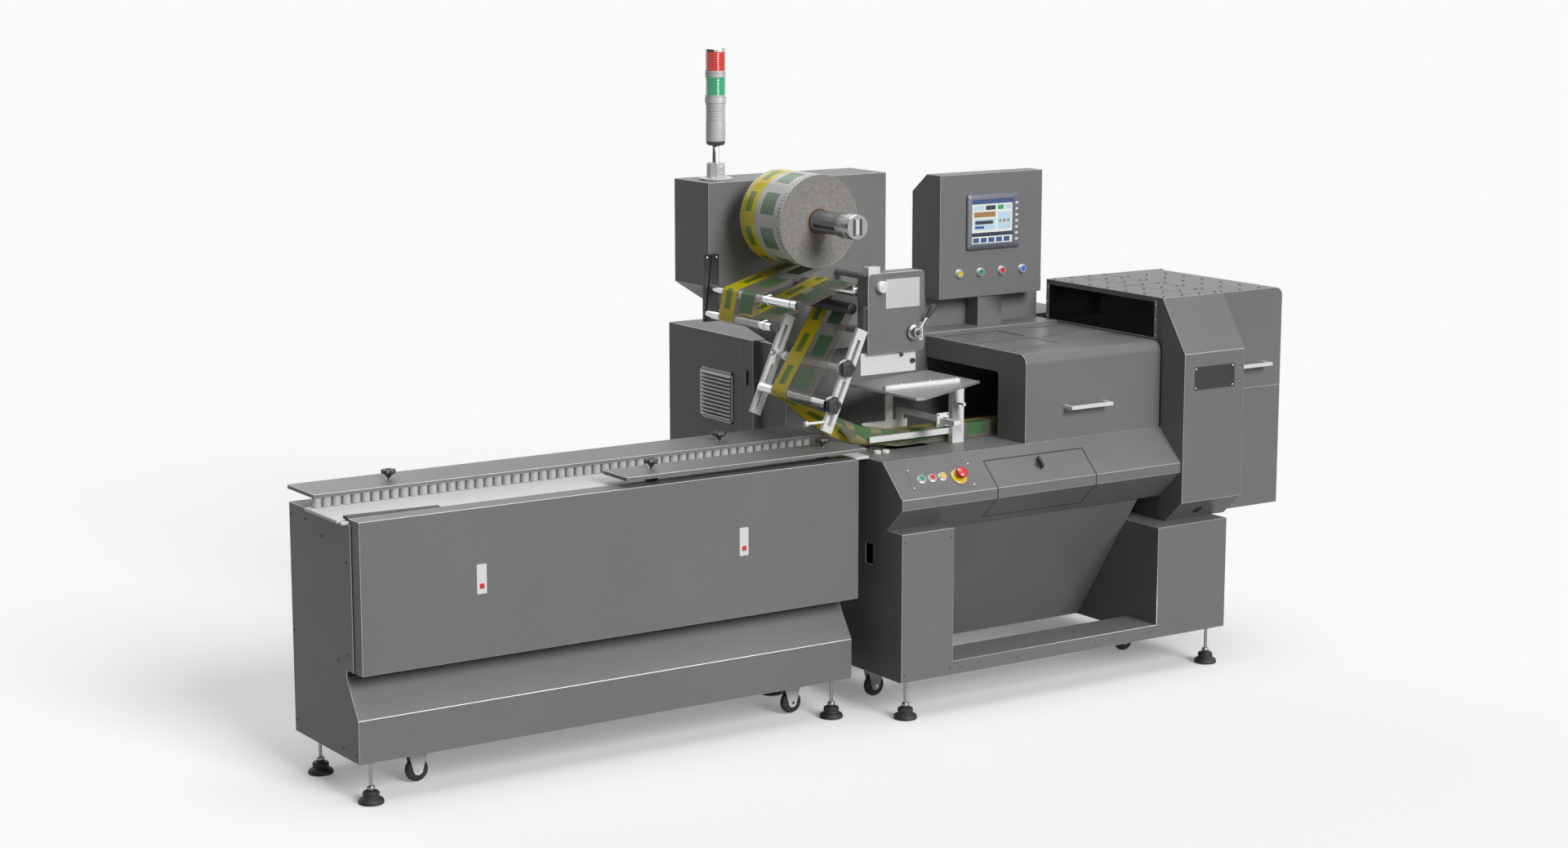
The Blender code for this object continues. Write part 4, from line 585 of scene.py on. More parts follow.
def chain():
    """A roller chain round its two sprockets: link plates in pairs, with a roller at each joint."""
    low, high = (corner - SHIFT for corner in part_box("infeed_chain"))
    radius = (high.z - low.z) / 2 - 0.004
    left, right = low.x + radius + 0.004, high.x - radius - 0.004
    middle = (low.z + high.z) / 2
    straight, half_turn = right - left, math.pi * radius
    total = 2 * (straight + half_turn)
    count = 2 * round(total / 0.0254)

    def at(distance):
        distance %= total
        if distance < straight:
            return Vector((left + distance, middle + radius))
        distance -= straight
        if distance < half_turn:
            angle = math.pi / 2 - distance / radius
            return Vector((right + radius * math.cos(angle), middle + radius * math.sin(angle)))
        distance -= half_turn
        if distance < straight:
            return Vector((right - distance, middle - radius))
        angle = -math.pi / 2 - (distance - straight) / radius
        return Vector((left + radius * math.cos(angle), middle + radius * math.sin(angle)))

    def loop(bm):
        for number in range(count):
            one, other = (at(total * k / count) for k in (number, number + 1))
            turn = math.degrees(math.atan2(other.y - one.y, other.x - one.x))
            outline = arc(one, 0.0036, turn + 90, turn + 270, 4) + arc(other, 0.0036, turn - 90, turn + 90, 4)
            inner = 0.0046 + 0.0016 * (number % 2)
            for side in (-1, 1):
                near, far = sorted((LANE + side * inner, LANE + side * (inner + 0.0012)))
                prism(bm, outline, "y", near, far)
            turned(bm, ((0.0026, -0.0085), (0.0026, 0.0085)), (one.x, LANE, one.y), "y", 8)

    stand_in("infeed_chain_links", "infeed_chain", IRON, loop, angle=50)
    for node in ("infeed_drive_shaft", "infeed_tail_shaft"):
        refine(node, IRON, 0.0006)


# ---- feet and wheels

FEET = {
    "infeed_left_underframe": ((0.012, -0.01), (0.016, 0.351)),
    "infeed_right_underframe": ((1.676, -0.006), (1.676, 0.351)),
    "main_left_underframe": ((1.871, -0.151), (1.871, 1.1)),
    "main_right_underframe": ((3.176, -0.155), (3.176, 1.1)),
}
CASTERS = {
    "infeed_left": (0.22, 0.107),
    "infeed_right": (1.59, 0.107),
    "main_left": (1.943, 0.129),
    "main_right": (3.04, 0.129),
}
FRAME_FOOT = 0.133
PAD = (
    (0.03, 0.0), (0.0375, 0.001), (0.039, 0.003), (0.039, 0.009), (0.0365, 0.014), (0.03, 0.018), (0.0255, 0.021),
    (0.0245, 0.024), (0.0255, 0.028), (0.0255, 0.034), (0.022, 0.038), (0.01, 0.04))
WHEEL_RADIUS = 0.0375
TYRE = (
    (0.014, 0.0), (0.0285, 0.0005), (0.033, 0.002), (0.0362, 0.005), (0.0375, 0.009), (0.0375, 0.015),
    (0.0362, 0.019), (0.033, 0.022), (0.0285, 0.0235), (0.014, 0.024))


def feet():
    for node, spots in FEET.items():
        refine(node, STEEL, 0.001, drop=lambda c, n: c.z < FRAME_FOOT - 0.0005)
        for (x, y), end in zip(spots, ("front", "rear")):
            name = node.replace("underframe", end)
            piece(f"{name}_foot_pad", ROOT, RUBBER_AND_PAINTED_SHADOW, only(turned, PAD, (x, y, 0.0), "z", 40))

            def stem(bm):
                thread = [(0.006 - 0.0006 * (i % 2), 0.05 + 0.0015 * i) for i in range(56)]
                turned(bm, [(0.006, 0.039), *thread], (x, y, 0.0), "z", 16)
                hexagon(bm, (x, y, 0.0), "z", 0.0125, 0.04, 0.054)
                hexagon(bm, (x, y, 0.0), "z", 0.0125, FRAME_FOOT - 0.011, FRAME_FOOT)

            piece(f"{name}_foot_stem", ROOT, SATIN, stem, angle=60)


def casters():
    for name, (x, y) in CASTERS.items():
        wheel = f"{name}_wheel"
        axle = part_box(wheel)[0].z + WHEEL_RADIUS
        body = BODY[wheel]
        stand_in(
            f"{name}_tyre", wheel, RUBBER_AND_PAINTED_SHADOW,
            only(turned, [(r, along - 0.012) for r, along in TYRE], (x, y, axle), "y", 40))

        def hub(bm):
            for side in (-1, 1):
                shape = (
                    (0.019, 0.0), (0.019, 0.0004), (0.016, 0.0012), (0.01, 0.0012), (0.008, 0.002), (0.0, 0.002))
                turned(bm, [(r, side * (0.0105 + along)) for r, along in shape], (x, y, axle), "y", 28)

        piece(f"{name}_wheel_hub", body, GREY_METAL, hub)
        crown = axle + 0.0435
        outline = [(x - 0.0285, crown), *arc((x, axle), 0.016, 205, 335, 8), (x + 0.0285, crown)]

        def fork(bm):
            for side in (-1, 1):
                near, far = sorted((y + side * 0.0128, y + side * 0.0153))
                prism(bm, outline, "y", near, far)
            box(bm, (x - 0.0285, y - 0.0153, crown - 0.0005), (x + 0.0285, y + 0.0153, crown + 0.002))
            box(bm, (x - 0.027, y - 0.021, crown + 0.0015), (x + 0.027, y + 0.021, FRAME_FOOT - 0.0005))

        piece(f"{name}_caster_fork", ROOT, WHITE, fork, 0.0008)

        def bolts(bm):
            for side in (-1, 1):
                hexagon(bm, (x, y, axle), "y", 0.006, *sorted((side * 0.015, side * 0.0195)))
            for dx in (-0.02, 0.02):
                for dy in (-0.026, 0.026):
                    hexagon(bm, (x + dx, y + dy, FRAME_FOOT), "z", 0.004, -0.004, 0.0)

        piece(f"{name}_caster_bolts", ROOT, CHROME, bolts)


# ---- main machine

SLOPE_TOP = Vector((0.0, -0.083, DECK))
SLOPE_NOSE = Vector((0.0, -0.195, 0.7405))


def facing(spot, along):
    """A frame at a spot of a slope that runs along: +Z points out of it and +X along the machine."""
    normal, right = Vector((0.0, along.z, -along.y)), Vector((1.0, 0.0, 0.0))
    return Matrix.Translation(spot) @ Matrix((right, normal.cross(right), normal)).transposed().to_4x4()


def sloped(name, body, slot, material, x, down, build, bevel=0.0):
    """A piece on the console's slope, at x and that far down it."""
    along = (SLOPE_NOSE - SLOPE_TOP).normalized()

    def whole(bm):
        build(bm)
        bm.transform(facing(SLOPE_TOP + along * down + Vector((x, 0.0, 0.0)), along))

    return piece(name, body, material, whole, bevel)


def pedestal():
    refine("base_frame", STEEL, 0.0015)
    refine("belly_panel", STEEL, 0.001)
    refine("main_body", STEEL, 0.0014)
    refine("backbone_wall", STEEL, 0.0014)
    refine("fin_wheel_front", CHROME, 0.0008)
    refine("fin_wheel_rear", CHROME, 0.0008)

    def leg_screws(bm):
        for x, z in ((1.835, 0.6), (2.02, 0.6), (1.835, 0.16), (2.02, 0.16)):
            screw(bm, (x, -0.194, z), "y", 0.0034, -1)
        for y, z in ((-0.17, 0.59), (0.62, 0.58), (-0.17, 0.16), (0.62, 0.16), (0.24, 0.58)):
            screw(bm, (1.823, y, z), "x", 0.0034, -1)
        for x in (2.06, 2.3, 2.64, 2.88):
            screw(bm, (x, -0.194, 0.1565), "y", 0.003, -1)

    piece("pedestal_screws", ROOT, DARK_STEEL_AND_PAINTED_SHADE, leg_screws)


def console():
    corners = ((1.893, 0.037), (2.15, 0.041), (2.134, 0.139), (1.882, 0.121))
    middle = (2.015, 0.0845)
    sloped(
        "console_plate", ROOT, "steel", STEEL, *middle,
        only(prism, [(x - middle[0], middle[1] - down) for x, down in corners], "z", -0.0002, 0.001), 0.0004)

    def plate_screws(bm):
        for x, down in corners:
            spot = (x + (middle[0] - x) * 0.06 - middle[0], middle[1] - down - (middle[1] - down) * 0.16, 0.001)
            screw(bm, spot, "z", 0.0026)

    sloped("console_plate_screws", ROOT, "chrome", CHROME, *middle, plate_screws)
    for node, x, material in (
        ("start_button", 1.933, GREEN), ("stop_button", 1.976, RED), ("reset_button", 2.018, YELLOW)
    ):
        profile = (
            (0.0106, 0.0008), (0.0152, 0.001), (0.0152, 0.003), (0.0134, 0.0042), (0.013, 0.0088), (0.0124, 0.0094),
            (0.0106, 0.0094), (0.0106, 0.0008))
        sloped(f"{node}_ring", ROOT, "chrome", BRIGHT, x, 0.086, only(turned, profile, (0, 0, 0), "z", 32))
        profile = ((0.0098, -0.01), (0.0098, 0.0085), (0.0088, 0.01), (0.0062, 0.0098), (0.0, 0.0092))
        stand_for(
            sloped(
                f"{node}_cap", BODY[node], SLOT[node], material, x, 0.086,
                only(turned, profile, (0, 0, 0), "z", 32)), node)
    profile = (
        (0.0125, 0.0008), (0.029, 0.0008), (0.029, 0.0032), (0.027, 0.0045), (0.016, 0.005), (0.0155, 0.012),
        (0.0125, 0.012))
    sloped("emergency_stop_collar", ROOT, "yellow", YELLOW, 2.082, 0.093, only(turned, profile, (0, 0, 0), "z", 40))
    profile = (
        (0.0108, -0.01), (0.0108, 0.014), (0.017, 0.0155), (0.0196, 0.0185), (0.02, 0.023), (0.0185, 0.029),
        (0.013, 0.033), (0.0, 0.034))
    stand_for(
        sloped(
            "emergency_stop_head", BODY["emergency_stop"], "red", RED, 2.082, 0.093,
            only(turned, profile, (0, 0, 0), "z", 40)), "emergency_stop")
    refine("beam_door", STEEL, 0.0008)
    outline = [(-0.083, 0.85), (-0.195, 0.7405), (-0.195, 0.7066), (-0.088, 0.6075)]

    def at_height(z, lift):
        for (y0, z0), (y1, z1) in zip(outline, outline[1:]):
            if z1 <= z <= z0:
                share = (z0 - z) / (z0 - z1)
                length = math.hypot(y1 - y0, z1 - z0)
                return y0 + (y1 - y0) * share + (z1 - z0) / length * lift, z - (y1 - y0) / length * lift
        return outline[-1]

    def seam(bm):
        low, high = (corner.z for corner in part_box("beam_door"))
        heights = [high + 0.0016, 0.7405, 0.7066, low - 0.0016]
        outer = [at_height(z, 0.0004) for z in heights]
        inner = [at_height(z, -0.002) for z in heights]
        for x in (2.21, 2.63):
            prism(bm, outer + inner[::-1], "x", x - 0.0021, x + 0.0021)
        for z, way in ((high, 1), (low, -1)):
            near, far = (z + way * 0.0018, z - way * 0.0012)
            ring = [
                at_height(near, 0.0004), at_height(far, 0.0004), at_height(far, -0.001), at_height(near, -0.001)]
            prism(bm, ring, "x", 2.2085, 2.6315)

    piece("beam_door_seam", ROOT, BLACK, seam)
    profile = ((0.0078, 0.0), (0.0165, 0.0), (0.0165, 0.0016), (0.015, 0.0026), (0.0078, 0.0026))
    sloped(
        "beam_door_latch_ring", BODY["beam_door"], "chrome", DARK_STEEL_AND_PAINTED_SHADE, 2.42, 0.087,
        only(turned, profile, (0, 0, 0), "z", 32))

    def latch(bm):
        profile = ((0.0066, -0.01), (0.0066, 0.0028), (0.014, 0.0028), (0.014, 0.006), (0.012, 0.008), (0.0, 0.008))
        turned(bm, profile, (0, 0, 0), "z", 32)
        prism(bm, rounded((-0.0045, -0.0215), (0.0045, 0.0215), 0.004), "z", 0.007, 0.0195)

    stand_for(
        sloped("beam_door_latch_wing", BODY["beam_door_latch"], "black", BLACK, 2.42, 0.087, latch, 0.0008),
        "beam_door_latch")


def hood():
    handle = lambda c, n: c.y < HOOD_FRONT - 0.0008 and 0.95 < c.z < 0.972
    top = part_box("fin_seal_hood")[1].z
    panels = [("z", top, spot, end, 0.005) for spot, end in HOOD_PANELS]
    refine("fin_seal_hood", STEEL, 0.0012, paint=((WHITE, handle),), pressed=panels)

    # Painted shadow: a dark strip inside the front edge of each recessed top panel.
    def shadows(bm):
        for (x0, y0), (x1, y1) in HOOD_PANELS:
            box(bm, (x0 + 0.004, y0 + 0.003, top - 0.0052), (x1 - 0.004, y0 + 0.011, top - 0.0045))

    piece("hood_panel_painted_shadows", BODY["fin_seal_hood"], DARK_STEEL_AND_PAINTED_SHADE, shadows)
    spots = grid((2.43, 2.705, 2.98), (0.01, 0.46), [top])
    screws("hood_screws", BODY["fin_seal_hood"], DARK_STEEL_AND_PAINTED_SHADE, spots, "z", 0.004)


def end_seal():
    refine("discharge_housing", STEEL, 0.0012)
    handle = lambda c, n: c.y < HOOD_FRONT - 0.0008 and 1.02 < c.z < 1.045
    refine("end_seal_cover", STEEL, 0.0012, paint=((WHITE, handle),))
    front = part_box("column_cover")[0].y - SHIFT.y

    def bare(c, n):
        return n.y < -0.9 and front + 0.001 < c.y < front + 0.003 and 3.05 < c.x < 3.235 and 0.987 < c.z < 1.07

    refine(
        "column_cover", STEEL, 0.0013, paint=((BADGE, bare),),
        pressed=[("y", front, (3.05, 0.987), (3.235, 1.07), 0.0018)])
    refine("cover_window", SMOKED, 0.0004)
    refine("upper_jaw", IRON, 0.0008)
    refine("lower_jaw", IRON, 0.0008)
    top = HOUSING_TOP
    lines = [-0.062 + 0.0995 * k for k in range(7)]
    spots = grid((3.028, 3.11, 3.19, 3.262), lines, [top])
    screws("housing_top_screws", ROOT, DARK_STEEL_AND_PAINTED_SHADE, spots, "z", 0.0052)
    spots = grid((3.292, 3.38, 3.47), lines[:6], [top])
    screws("cover_top_screws", BODY["end_seal_cover"], DARK_STEEL_AND_PAINTED_SHADE, spots, "z", 0.0052)

    def top_seams(bm):
        for x in (3.15, 3.2725):
            box(bm, (x - 0.0014, -0.06, top - 0.001), (x + 0.0014, 0.54, top + 0.0004))
        box(bm, (3.03, 0.24, top - 0.001), (3.272, 0.2428, top + 0.0004))

    piece("housing_top_seams", ROOT, DARK_STEEL_AND_PAINTED_SHADE, top_seams)

    def strips(bm):
        for y in (-0.043, 0.548):
            box(bm, (3.0085, y - 0.007, 1.15), (3.0105, y + 0.007, 1.285))

    piece("window_strips", ROOT, GREY_METAL, strips, 0.0004)
    spots = grid([3.0088], (-0.043, 0.548), (1.165, 1.218, 1.27))
    screws("window_strip_screws", ROOT, CHROME, spots, "x", 0.003, -1)
    spots = grid((3.0585, 3.2265), [front + 0.0018], (0.9955, 1.0615))
    screws("badge_screws", ROOT, CHROME, spots, "y", 0.0028, -1)

    # Painted shade: a black disc on the column's slanted foot stands for the dark inside of a hole.
    def foot_hole(bm):
        high, low = Vector((3.12, -0.2045, 0.599)), Vector((3.12, -0.1203, 0.522))
        turned(bm, ((0.0, 0.0), (0.017, 0.0), (0.017, 0.0012), (0.0, 0.0012)), (0, 0, 0), "z", 28)
        bm.transform(facing(high + (low - high) * 0.55, (low - high).normalized()))

    piece("column_foot_hole_painted_shade", ROOT, BLACK, foot_hole)


def cabinet():
    refine("electrical_cabinet", STEEL, 0.0014)
    refine("cabinet_door", STEEL, 0.0012)
    side = 1.8

    def grille(bm):
        for low, high in (
            ((0.776, 0.85), (0.988, 0.858)), ((0.776, 1.022), (0.988, 1.03)), ((0.776, 0.85), (0.786, 1.03)),
            ((0.978, 0.85), (0.988, 1.03))
        ):
            box(bm, (side - 0.0035, *low), (side + 0.0005, *high))
        for number in range(12):
            z = 0.859 + number * 0.0136
            slat = [
                (side - 0.0005, z + 0.0105), (side - 0.009, z + 0.002), (side - 0.01, z + 0.003),
                (side - 0.0005, z + 0.0125)]
            prism(bm, slat, "y", 0.784, 0.98)

    piece("cabinet_louvre", ROOT, GREY_METAL, grille, 0.0004)
    # Painted shade: a black sheet behind the slats stands for the dark gaps between them.
    piece(
        "cabinet_louvre_painted_shade", ROOT, BLACK,
        only(box, (side - 0.0008, 0.78, 0.854), (side + 0.0004, 0.984, 1.026)))
    piece(
        "cabinet_side_seam", ROOT, BLACK,
        only(box, (side - 0.0004, 0.7085, 0.19), (side + 0.001, 0.711, 1.14)))
    piece(
        "cabinet_side_latch", ROOT, BLACK,
        only(prism, rounded((0.683, 1.0), (0.702, 1.052), 0.003), "x", side - 0.006, side + 0.0002), 0.001)
    back = 1.2

    def hinges(bm):
        for z in (0.32, 0.98):
            profile = ((0.0045, 0.0), (0.005, 0.0005), (0.005, 0.0595), (0.0045, 0.06))
            turned(bm, profile, (1.85, back - 0.0058, z), "z", 16)

    piece("cabinet_door_hinges", ROOT, CHROME, hinges)
    profile = ((0.0115, -0.0035), (0.0115, -0.0012), (0.01, -0.0004), (0.0, -0.0004))
    piece(
        "cabinet_door_lock", BODY["cabinet_door"], CHROME,
        only(turned, profile, (2.44, back, 0.68), "y", 24))


# ---- operator panel


def operator_panel():
    refine("control_box", STEEL, 0.0016)
    face = 0.52
    (x0, x1), (z0, z1) = (2.612, 2.846), (1.43, 1.627)
    rim = 0.02

    def bezel(bm):
        outer = rounded((x0, z0), (x1, z1), 0.01)
        lip = rounded((x0 + 0.003, z0 + 0.003), (x1 - 0.003, z1 - 0.003), 0.008)
        inner = rounded((x0 + rim, z0 + rim), (x1 - rim - 0.012, z1 - rim), 0.002)
        levels = ((outer, 0.0003), (outer, 0.0065), (lip, 0.0093), (inner, 0.0093), (inner, 0.0065))
        rings = [[bm.verts.new((x, face - out, z)) for x, z in outline] for outline, out in levels]
        for one, other in zip(rings, rings[1:]):
            for k in range(len(one)):
                after = (k + 1) % len(one)
                bm.faces.new((one[k], one[after], other[after], other[k]))
        bm.faces.new(rings[0])
        bm.faces.new(rings[-1])

    stand_for(
        piece("touch_panel_bezel", BODY["touch_panel"], BEZEL, bezel, angle=50), "touch_panel")
    left, right, low, high = x0 + rim + 0.001, x1 - rim - 0.013, z0 + rim + 0.001, z1 - rim - 0.001
    width, height = right - left, high - low
    shades = {
        "ground": (0.66, 0.68, 0.62),
        "bar": (0.03, 0.07, 0.2),
        "brown": (0.3, 0.16, 0.06),
        "pale": (0.42, 0.56, 0.66),
        "green": (0.03, 0.3, 0.12),
        "red": (0.55, 0.04, 0.03),
        "dark": (0.02, 0.03, 0.05),
    }
    names = list(shades)
    glow = [
        finish(
            f"screen {name}", colour, 0.2, 0.0, 0.03, 500.0, bump=0.0, Emission_Color=(*colour, 1.0),
            Emission_Strength=0.35)
        for name, colour in shades.items()
    ]
    tiles = [
        ("ground", 0.0, 1.0, 0.0, 1.0, 0), ("bar", 0.0, 1.0, 0.9, 1.0, 1), ("pale", 0.05, 0.3, 0.76, 0.86, 1),
        ("dark", 0.34, 0.58, 0.76, 0.86, 1), ("brown", 0.05, 0.58, 0.6, 0.72, 1),
        ("green", 0.64, 0.78, 0.76, 0.86, 1), ("pale", 0.82, 0.96, 0.76, 0.86, 1),
        ("pale", 0.05, 0.58, 0.3, 0.56, 1), ("bar", 0.08, 0.3, 0.34, 0.4, 2), ("dark", 0.08, 0.52, 0.44, 0.52, 2),
        ("pale", 0.64, 0.96, 0.3, 0.7, 1), ("dark", 0.0, 1.0, 0.16, 0.25, 1)]
    tiles += [("bar", 0.03 + 0.19 * k, 0.18 + 0.19 * k, 0.02, 0.13, 1) for k in range(5)]

    def picture(bm):
        def shaded(name, tool, *rest):
            before = set(bm.faces)
            tool(bm, *rest)
            for made in set(bm.faces) - before:
                made.material_index = names.index(name)

        for name, a, b, c, d, lift in tiles:
            y = face - 0.0066 - 0.0001 * lift
            near = (left + a * width, y - 0.0001, low + c * height)
            shaded(name, box, near, (left + b * width, face - 0.006, low + d * height))
        for k, name in enumerate(("green", "red", "green")):
            spot = (left + (0.7 + 0.1 * k) * width, face - 0.0067, low + 0.5 * height)
            shaded(name, turned, ((0.0055, 0.0), (0.0055, -0.0003), (0.0045, -0.0004)), spot, "y", 20)

    piece("touch_panel_screen", BODY["touch_panel"], glow, picture)

    def keys(bm):
        for number in range(7):
            z = z0 + 0.026 + number * 0.0215
            prism(bm, rounded((x1 - 0.0215, z), (x1 - 0.0095, z + 0.0085), 0.002), "y", face - 0.0101, face - 0.009)

    piece("touch_panel_keys", BODY["touch_panel"], WHITE, keys, 0.0003)
    for node, x, material in (
        ("yellow_button", 2.581, YELLOW), ("green_button", 2.675, GREEN), ("red_button", 2.77, RED),
        ("blue_button", 2.863, BLUE)
    ):
        spot = (x, face, 1.35)

        def ring(bm):
            shape = [(0.0106, -0.0002), (0.0152, -0.0002), (0.0152, -0.0028), (0.0134, -0.004)]
            shape += [(0.013, -0.0114), (0.0124, -0.012), (0.0106, -0.012), (0.0106, -0.0002)]
            turned(bm, shape, spot, "y", 32)

        piece(f"{node}_ring", ROOT, BRIGHT, ring)
        profile = ((0.0098, 0.012), (0.0098, -0.0105), (0.0085, -0.0125), (0.006, -0.0122), (0.0, -0.0116))
        stand_in(f"{node}_cap", node, material, only(turned, profile, spot, "y", 32))


# ---- film unit

REEL = (1.648, 1.633)
WEB = (0.03, 0.265)
REEL_RADIUS = 0.15
BARS = {"upper_idler_bar": (1.445, 1.398), "lower_idler_bar": (1.43, 1.318)}
BAR_RADIUS = 0.015
# x, z and radius of the driven rollers
FEED, NIP, CROSS = (1.79, 1.402, 0.02), (1.772, 1.343, 0.018), (1.635, 1.056, 0.018)
FOLD = (1.88, 0.932)
CLEAR = 0.002  # between the film and what it runs round


def printed_sheet(name, rows, material, body, angle, thickness, offset):
    """Film through rows of (spot, along, across), given a thickness."""
    bm = bmesh.new()
    along_layer, across_layer = (bm.verts.layers.float.new(layer) for layer in ("along", "across"))
    woven = []
    for row in rows:
        verts = []
        for spot, along, across in row:
            vert = bm.verts.new(spot)
            vert[along_layer], vert[across_layer] = along, across
            verts.append(vert)
        woven.append(verts)
    for one, other in zip(woven, woven[1:]):
        for k in range(len(one) - 1):
            bm.faces.new((one[k], one[k + 1], other[k + 1], other[k]))
    item = place(name, settled(bm, name, [material]), body, angle=angle)
    shell = item.modifiers.new("thickness", "SOLIDIFY")
    shell.thickness, shell.offset = thickness, offset
    return item


def wound_roll():
    body = BODY["film_roll"]
    x, z = REEL
    near, far = WEB
    rim = REEL_RADIUS

    def ends(bm):
        for y, way in ((near, 1), (far, -1)):
            shape = [(0.048, 0.0008), (0.0483, 0.0)]
            shape += [(0.05 + 0.004 * k, 0.0003 * (k % 2)) for k in range(25)]
            shape += [(rim - 0.0012, 0.0), (rim - 0.0012, 0.003), (0.048, 0.003)]
            turned(bm, [(r, way * along) for r, along in [*shape, shape[0]]], (x, y, z), "y", 96)

    stand_in("film_roll_ends", "film_roll", WOUND, ends, angle=60)
    steps = 128
    shape = [(rim - 0.002, near + 0.0012), (rim - 0.0003, near + 0.0002), (rim, near + 0.001)]
    shape += [(rim, near + (far - near) * k / 6) for k in range(1, 6)]
    shape += [(rim, far - 0.001), (rim - 0.0003, far - 0.0002), (rim - 0.002, far - 0.0012)]
    rows = []
    for step in range(steps + 1):
        angle = 2 * math.pi * step / steps
        along = rim * angle * (REPEAT * 8 / (2 * math.pi * rim))
        spots = [((x + radius * math.cos(angle), y, z + radius * math.sin(angle)), y) for radius, y in shape]
        rows.append([(spot, along, (far - y) / (far - near)) for spot, y in spots])
    printed_sheet("film_roll_print", rows, PRINT, body, 60, 0.001, -1.0)

    def core(bm):
        shape = [(0.0405, near + 0.0005), (0.041, near), (0.0475, near), (0.048, near + 0.0005)]
        shape += [(0.048, far - 0.0005), (0.0475, far), (0.041, far), (0.0405, far - 0.0005)]
        turned(bm, [*shape, shape[0]], (x, 0.0, z), "y", 56)

    piece("film_roll_core", body, PAPER, core)

    def bore(bm):
        shape = [(0.0374, near + 0.004), (0.0404, near + 0.004), (0.0404, far - 0.004), (0.0374, far - 0.004)]
        turned(bm, [*shape, shape[0]], (x, 0.0, z), "y", 48)

    piece("film_roll_bore", body, BLACK, bore)


def reel_shaft():
    body = BODY["film_shaft"]
    x, z = REEL
    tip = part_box("film_shaft")[0].y - SHIFT.y
    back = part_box("film_shaft")[1].y - SHIFT.y

    def shaft(bm):
        shape = [
            (0.034, tip + 0.074), (0.036, tip + 0.076), (0.036, 0.012), (0.0372, 0.014), (0.0372, 0.272),
            (0.05, 0.274), (0.052, 0.276)]
        shape += [(0.052, 0.356), (0.036, 0.3575), (0.036, back)]
        turned(bm, shape, (x, 0.0, z), "y", 48)

    stand_in("film_shaft_body", "film_shaft", SATIN, shaft)

    def head(bm):
        shape = [
            (0.0, tip + 0.0006), (0.0385, tip + 0.0006), (0.0405, tip + 0.0026), (0.041, tip + 0.005),
            (0.041, tip + 0.025), (0.0395, tip + 0.0265)]
        shape += [(0.0395, tip + 0.0285), (0.041, tip + 0.03), (0.041, tip + 0.072), (0.036, tip + 0.076)]
        turned(bm, shape, (x, 0.0, z), "y", 48)

    piece("film_shaft_head", body, SATIN, head)

    def slots(bm):
        for turn in (195, 315, 75):
            spot = Matrix.Translation((x, 0.0, z)) @ Matrix.Rotation(-math.radians(turn), 4, "Y")
            moved(bm, spot, box, (0.0335, tip + 0.08, -0.0055), (0.0366, 0.02, 0.0055))

    piece("film_shaft_slots", body, BLACK, slots, 0.0006)

    def end_slots(bm):
        for dx in (-0.0125, 0.0125):
            prism(
                bm, rounded((x + dx - 0.0045, z - 0.027), (x + dx + 0.0045, z + 0.027), 0.004), "y", tip + 0.0001,
                tip + 0.003)

    piece("film_shaft_end_slots", body, BLACK, end_slots)

    def key(bm):
        profile = ((0.0065, 0.0), (0.0065, 0.0025), (0.005, 0.004), (0.0, 0.004))
        turned(bm, profile, (x, tip + 0.0012, z - 0.03), "y", 20)
        prism(bm, rounded((x - 0.0055, z - 0.022), (x + 0.0055, z + 0.024), 0.003), "y", tip + 0.0002, tip + 0.0016)

    piece("film_shaft_key", body, CHROME, key, 0.0004)


def film_unit():
    bracket = lambda c, n: c.y < 0.3572 and c.x < 1.475 and 1.285 < c.z < 1.515
    refine("film_box", STEEL, 0.0014, paint=((BLACK, bracket),))
    wound_roll()
    reel_shaft()
    for node, (x, z) in BARS.items():
        low, high = (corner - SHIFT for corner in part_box(node))
        body = BODY[node]

        def bar(bm):
            shape = [
                (0.0145, low.y + 0.01), (0.015, low.y + 0.0105), (0.015, 0.008), (0.0165, 0.0082), (0.0165, 0.018),
                (0.015, 0.0182)]
            turned(bm, [*shape, (0.015, high.y - 0.001), (0.014, high.y)], (x, 0.0, z), "y", 32)

        stand_in(f"{node}_tube", node, CHROME, bar)
        profile = (
            (0.0, low.y + 0.0002), (0.014, low.y + 0.0002), (0.016, low.y + 0.0016), (0.0164, low.y + 0.004),
            (0.0164, low.y + 0.0125), (0.015, low.y + 0.013))
        piece(f"{node}_cap", body, BLACK, only(turned, profile, (x, 0.0, z), "y", 32))

        # Painted shade: two thin dark rings near the bar's end stand for the shade in its grooves.
        def rings(bm):
            for y in (low.y + 0.045, low.y + 0.048):
                turned(bm, ((0.014, 0.0), (0.0153, 0.0001), (0.0153, 0.0012), (0.014, 0.0013)), (x, y, z), "y", 32)

        piece(f"{node}_rings", body, DARK_STEEL_AND_PAINTED_SHADE, rings)
    for node in ("feed_roller", "nip_roller"):
        refine(node, RUBBER_AND_PAINTED_SHADOW if node == "nip_roller" else CHROME, 0.0005)
    profile = [(1.44, 1.508), (1.448, 1.508), (1.424, 1.293), (1.416, 1.293)]
    piece("idler_side_bar", ROOT, BLACK, only(prism, profile, "y", 0.34, 0.345), 0.001)
    spots = [(x, 0.3458, z) for z in (1.5, 1.302) for x in (1.425, 1.46)]
    screws("idler_bracket_screws", ROOT, CHROME, spots, "y", 0.0036, -1)


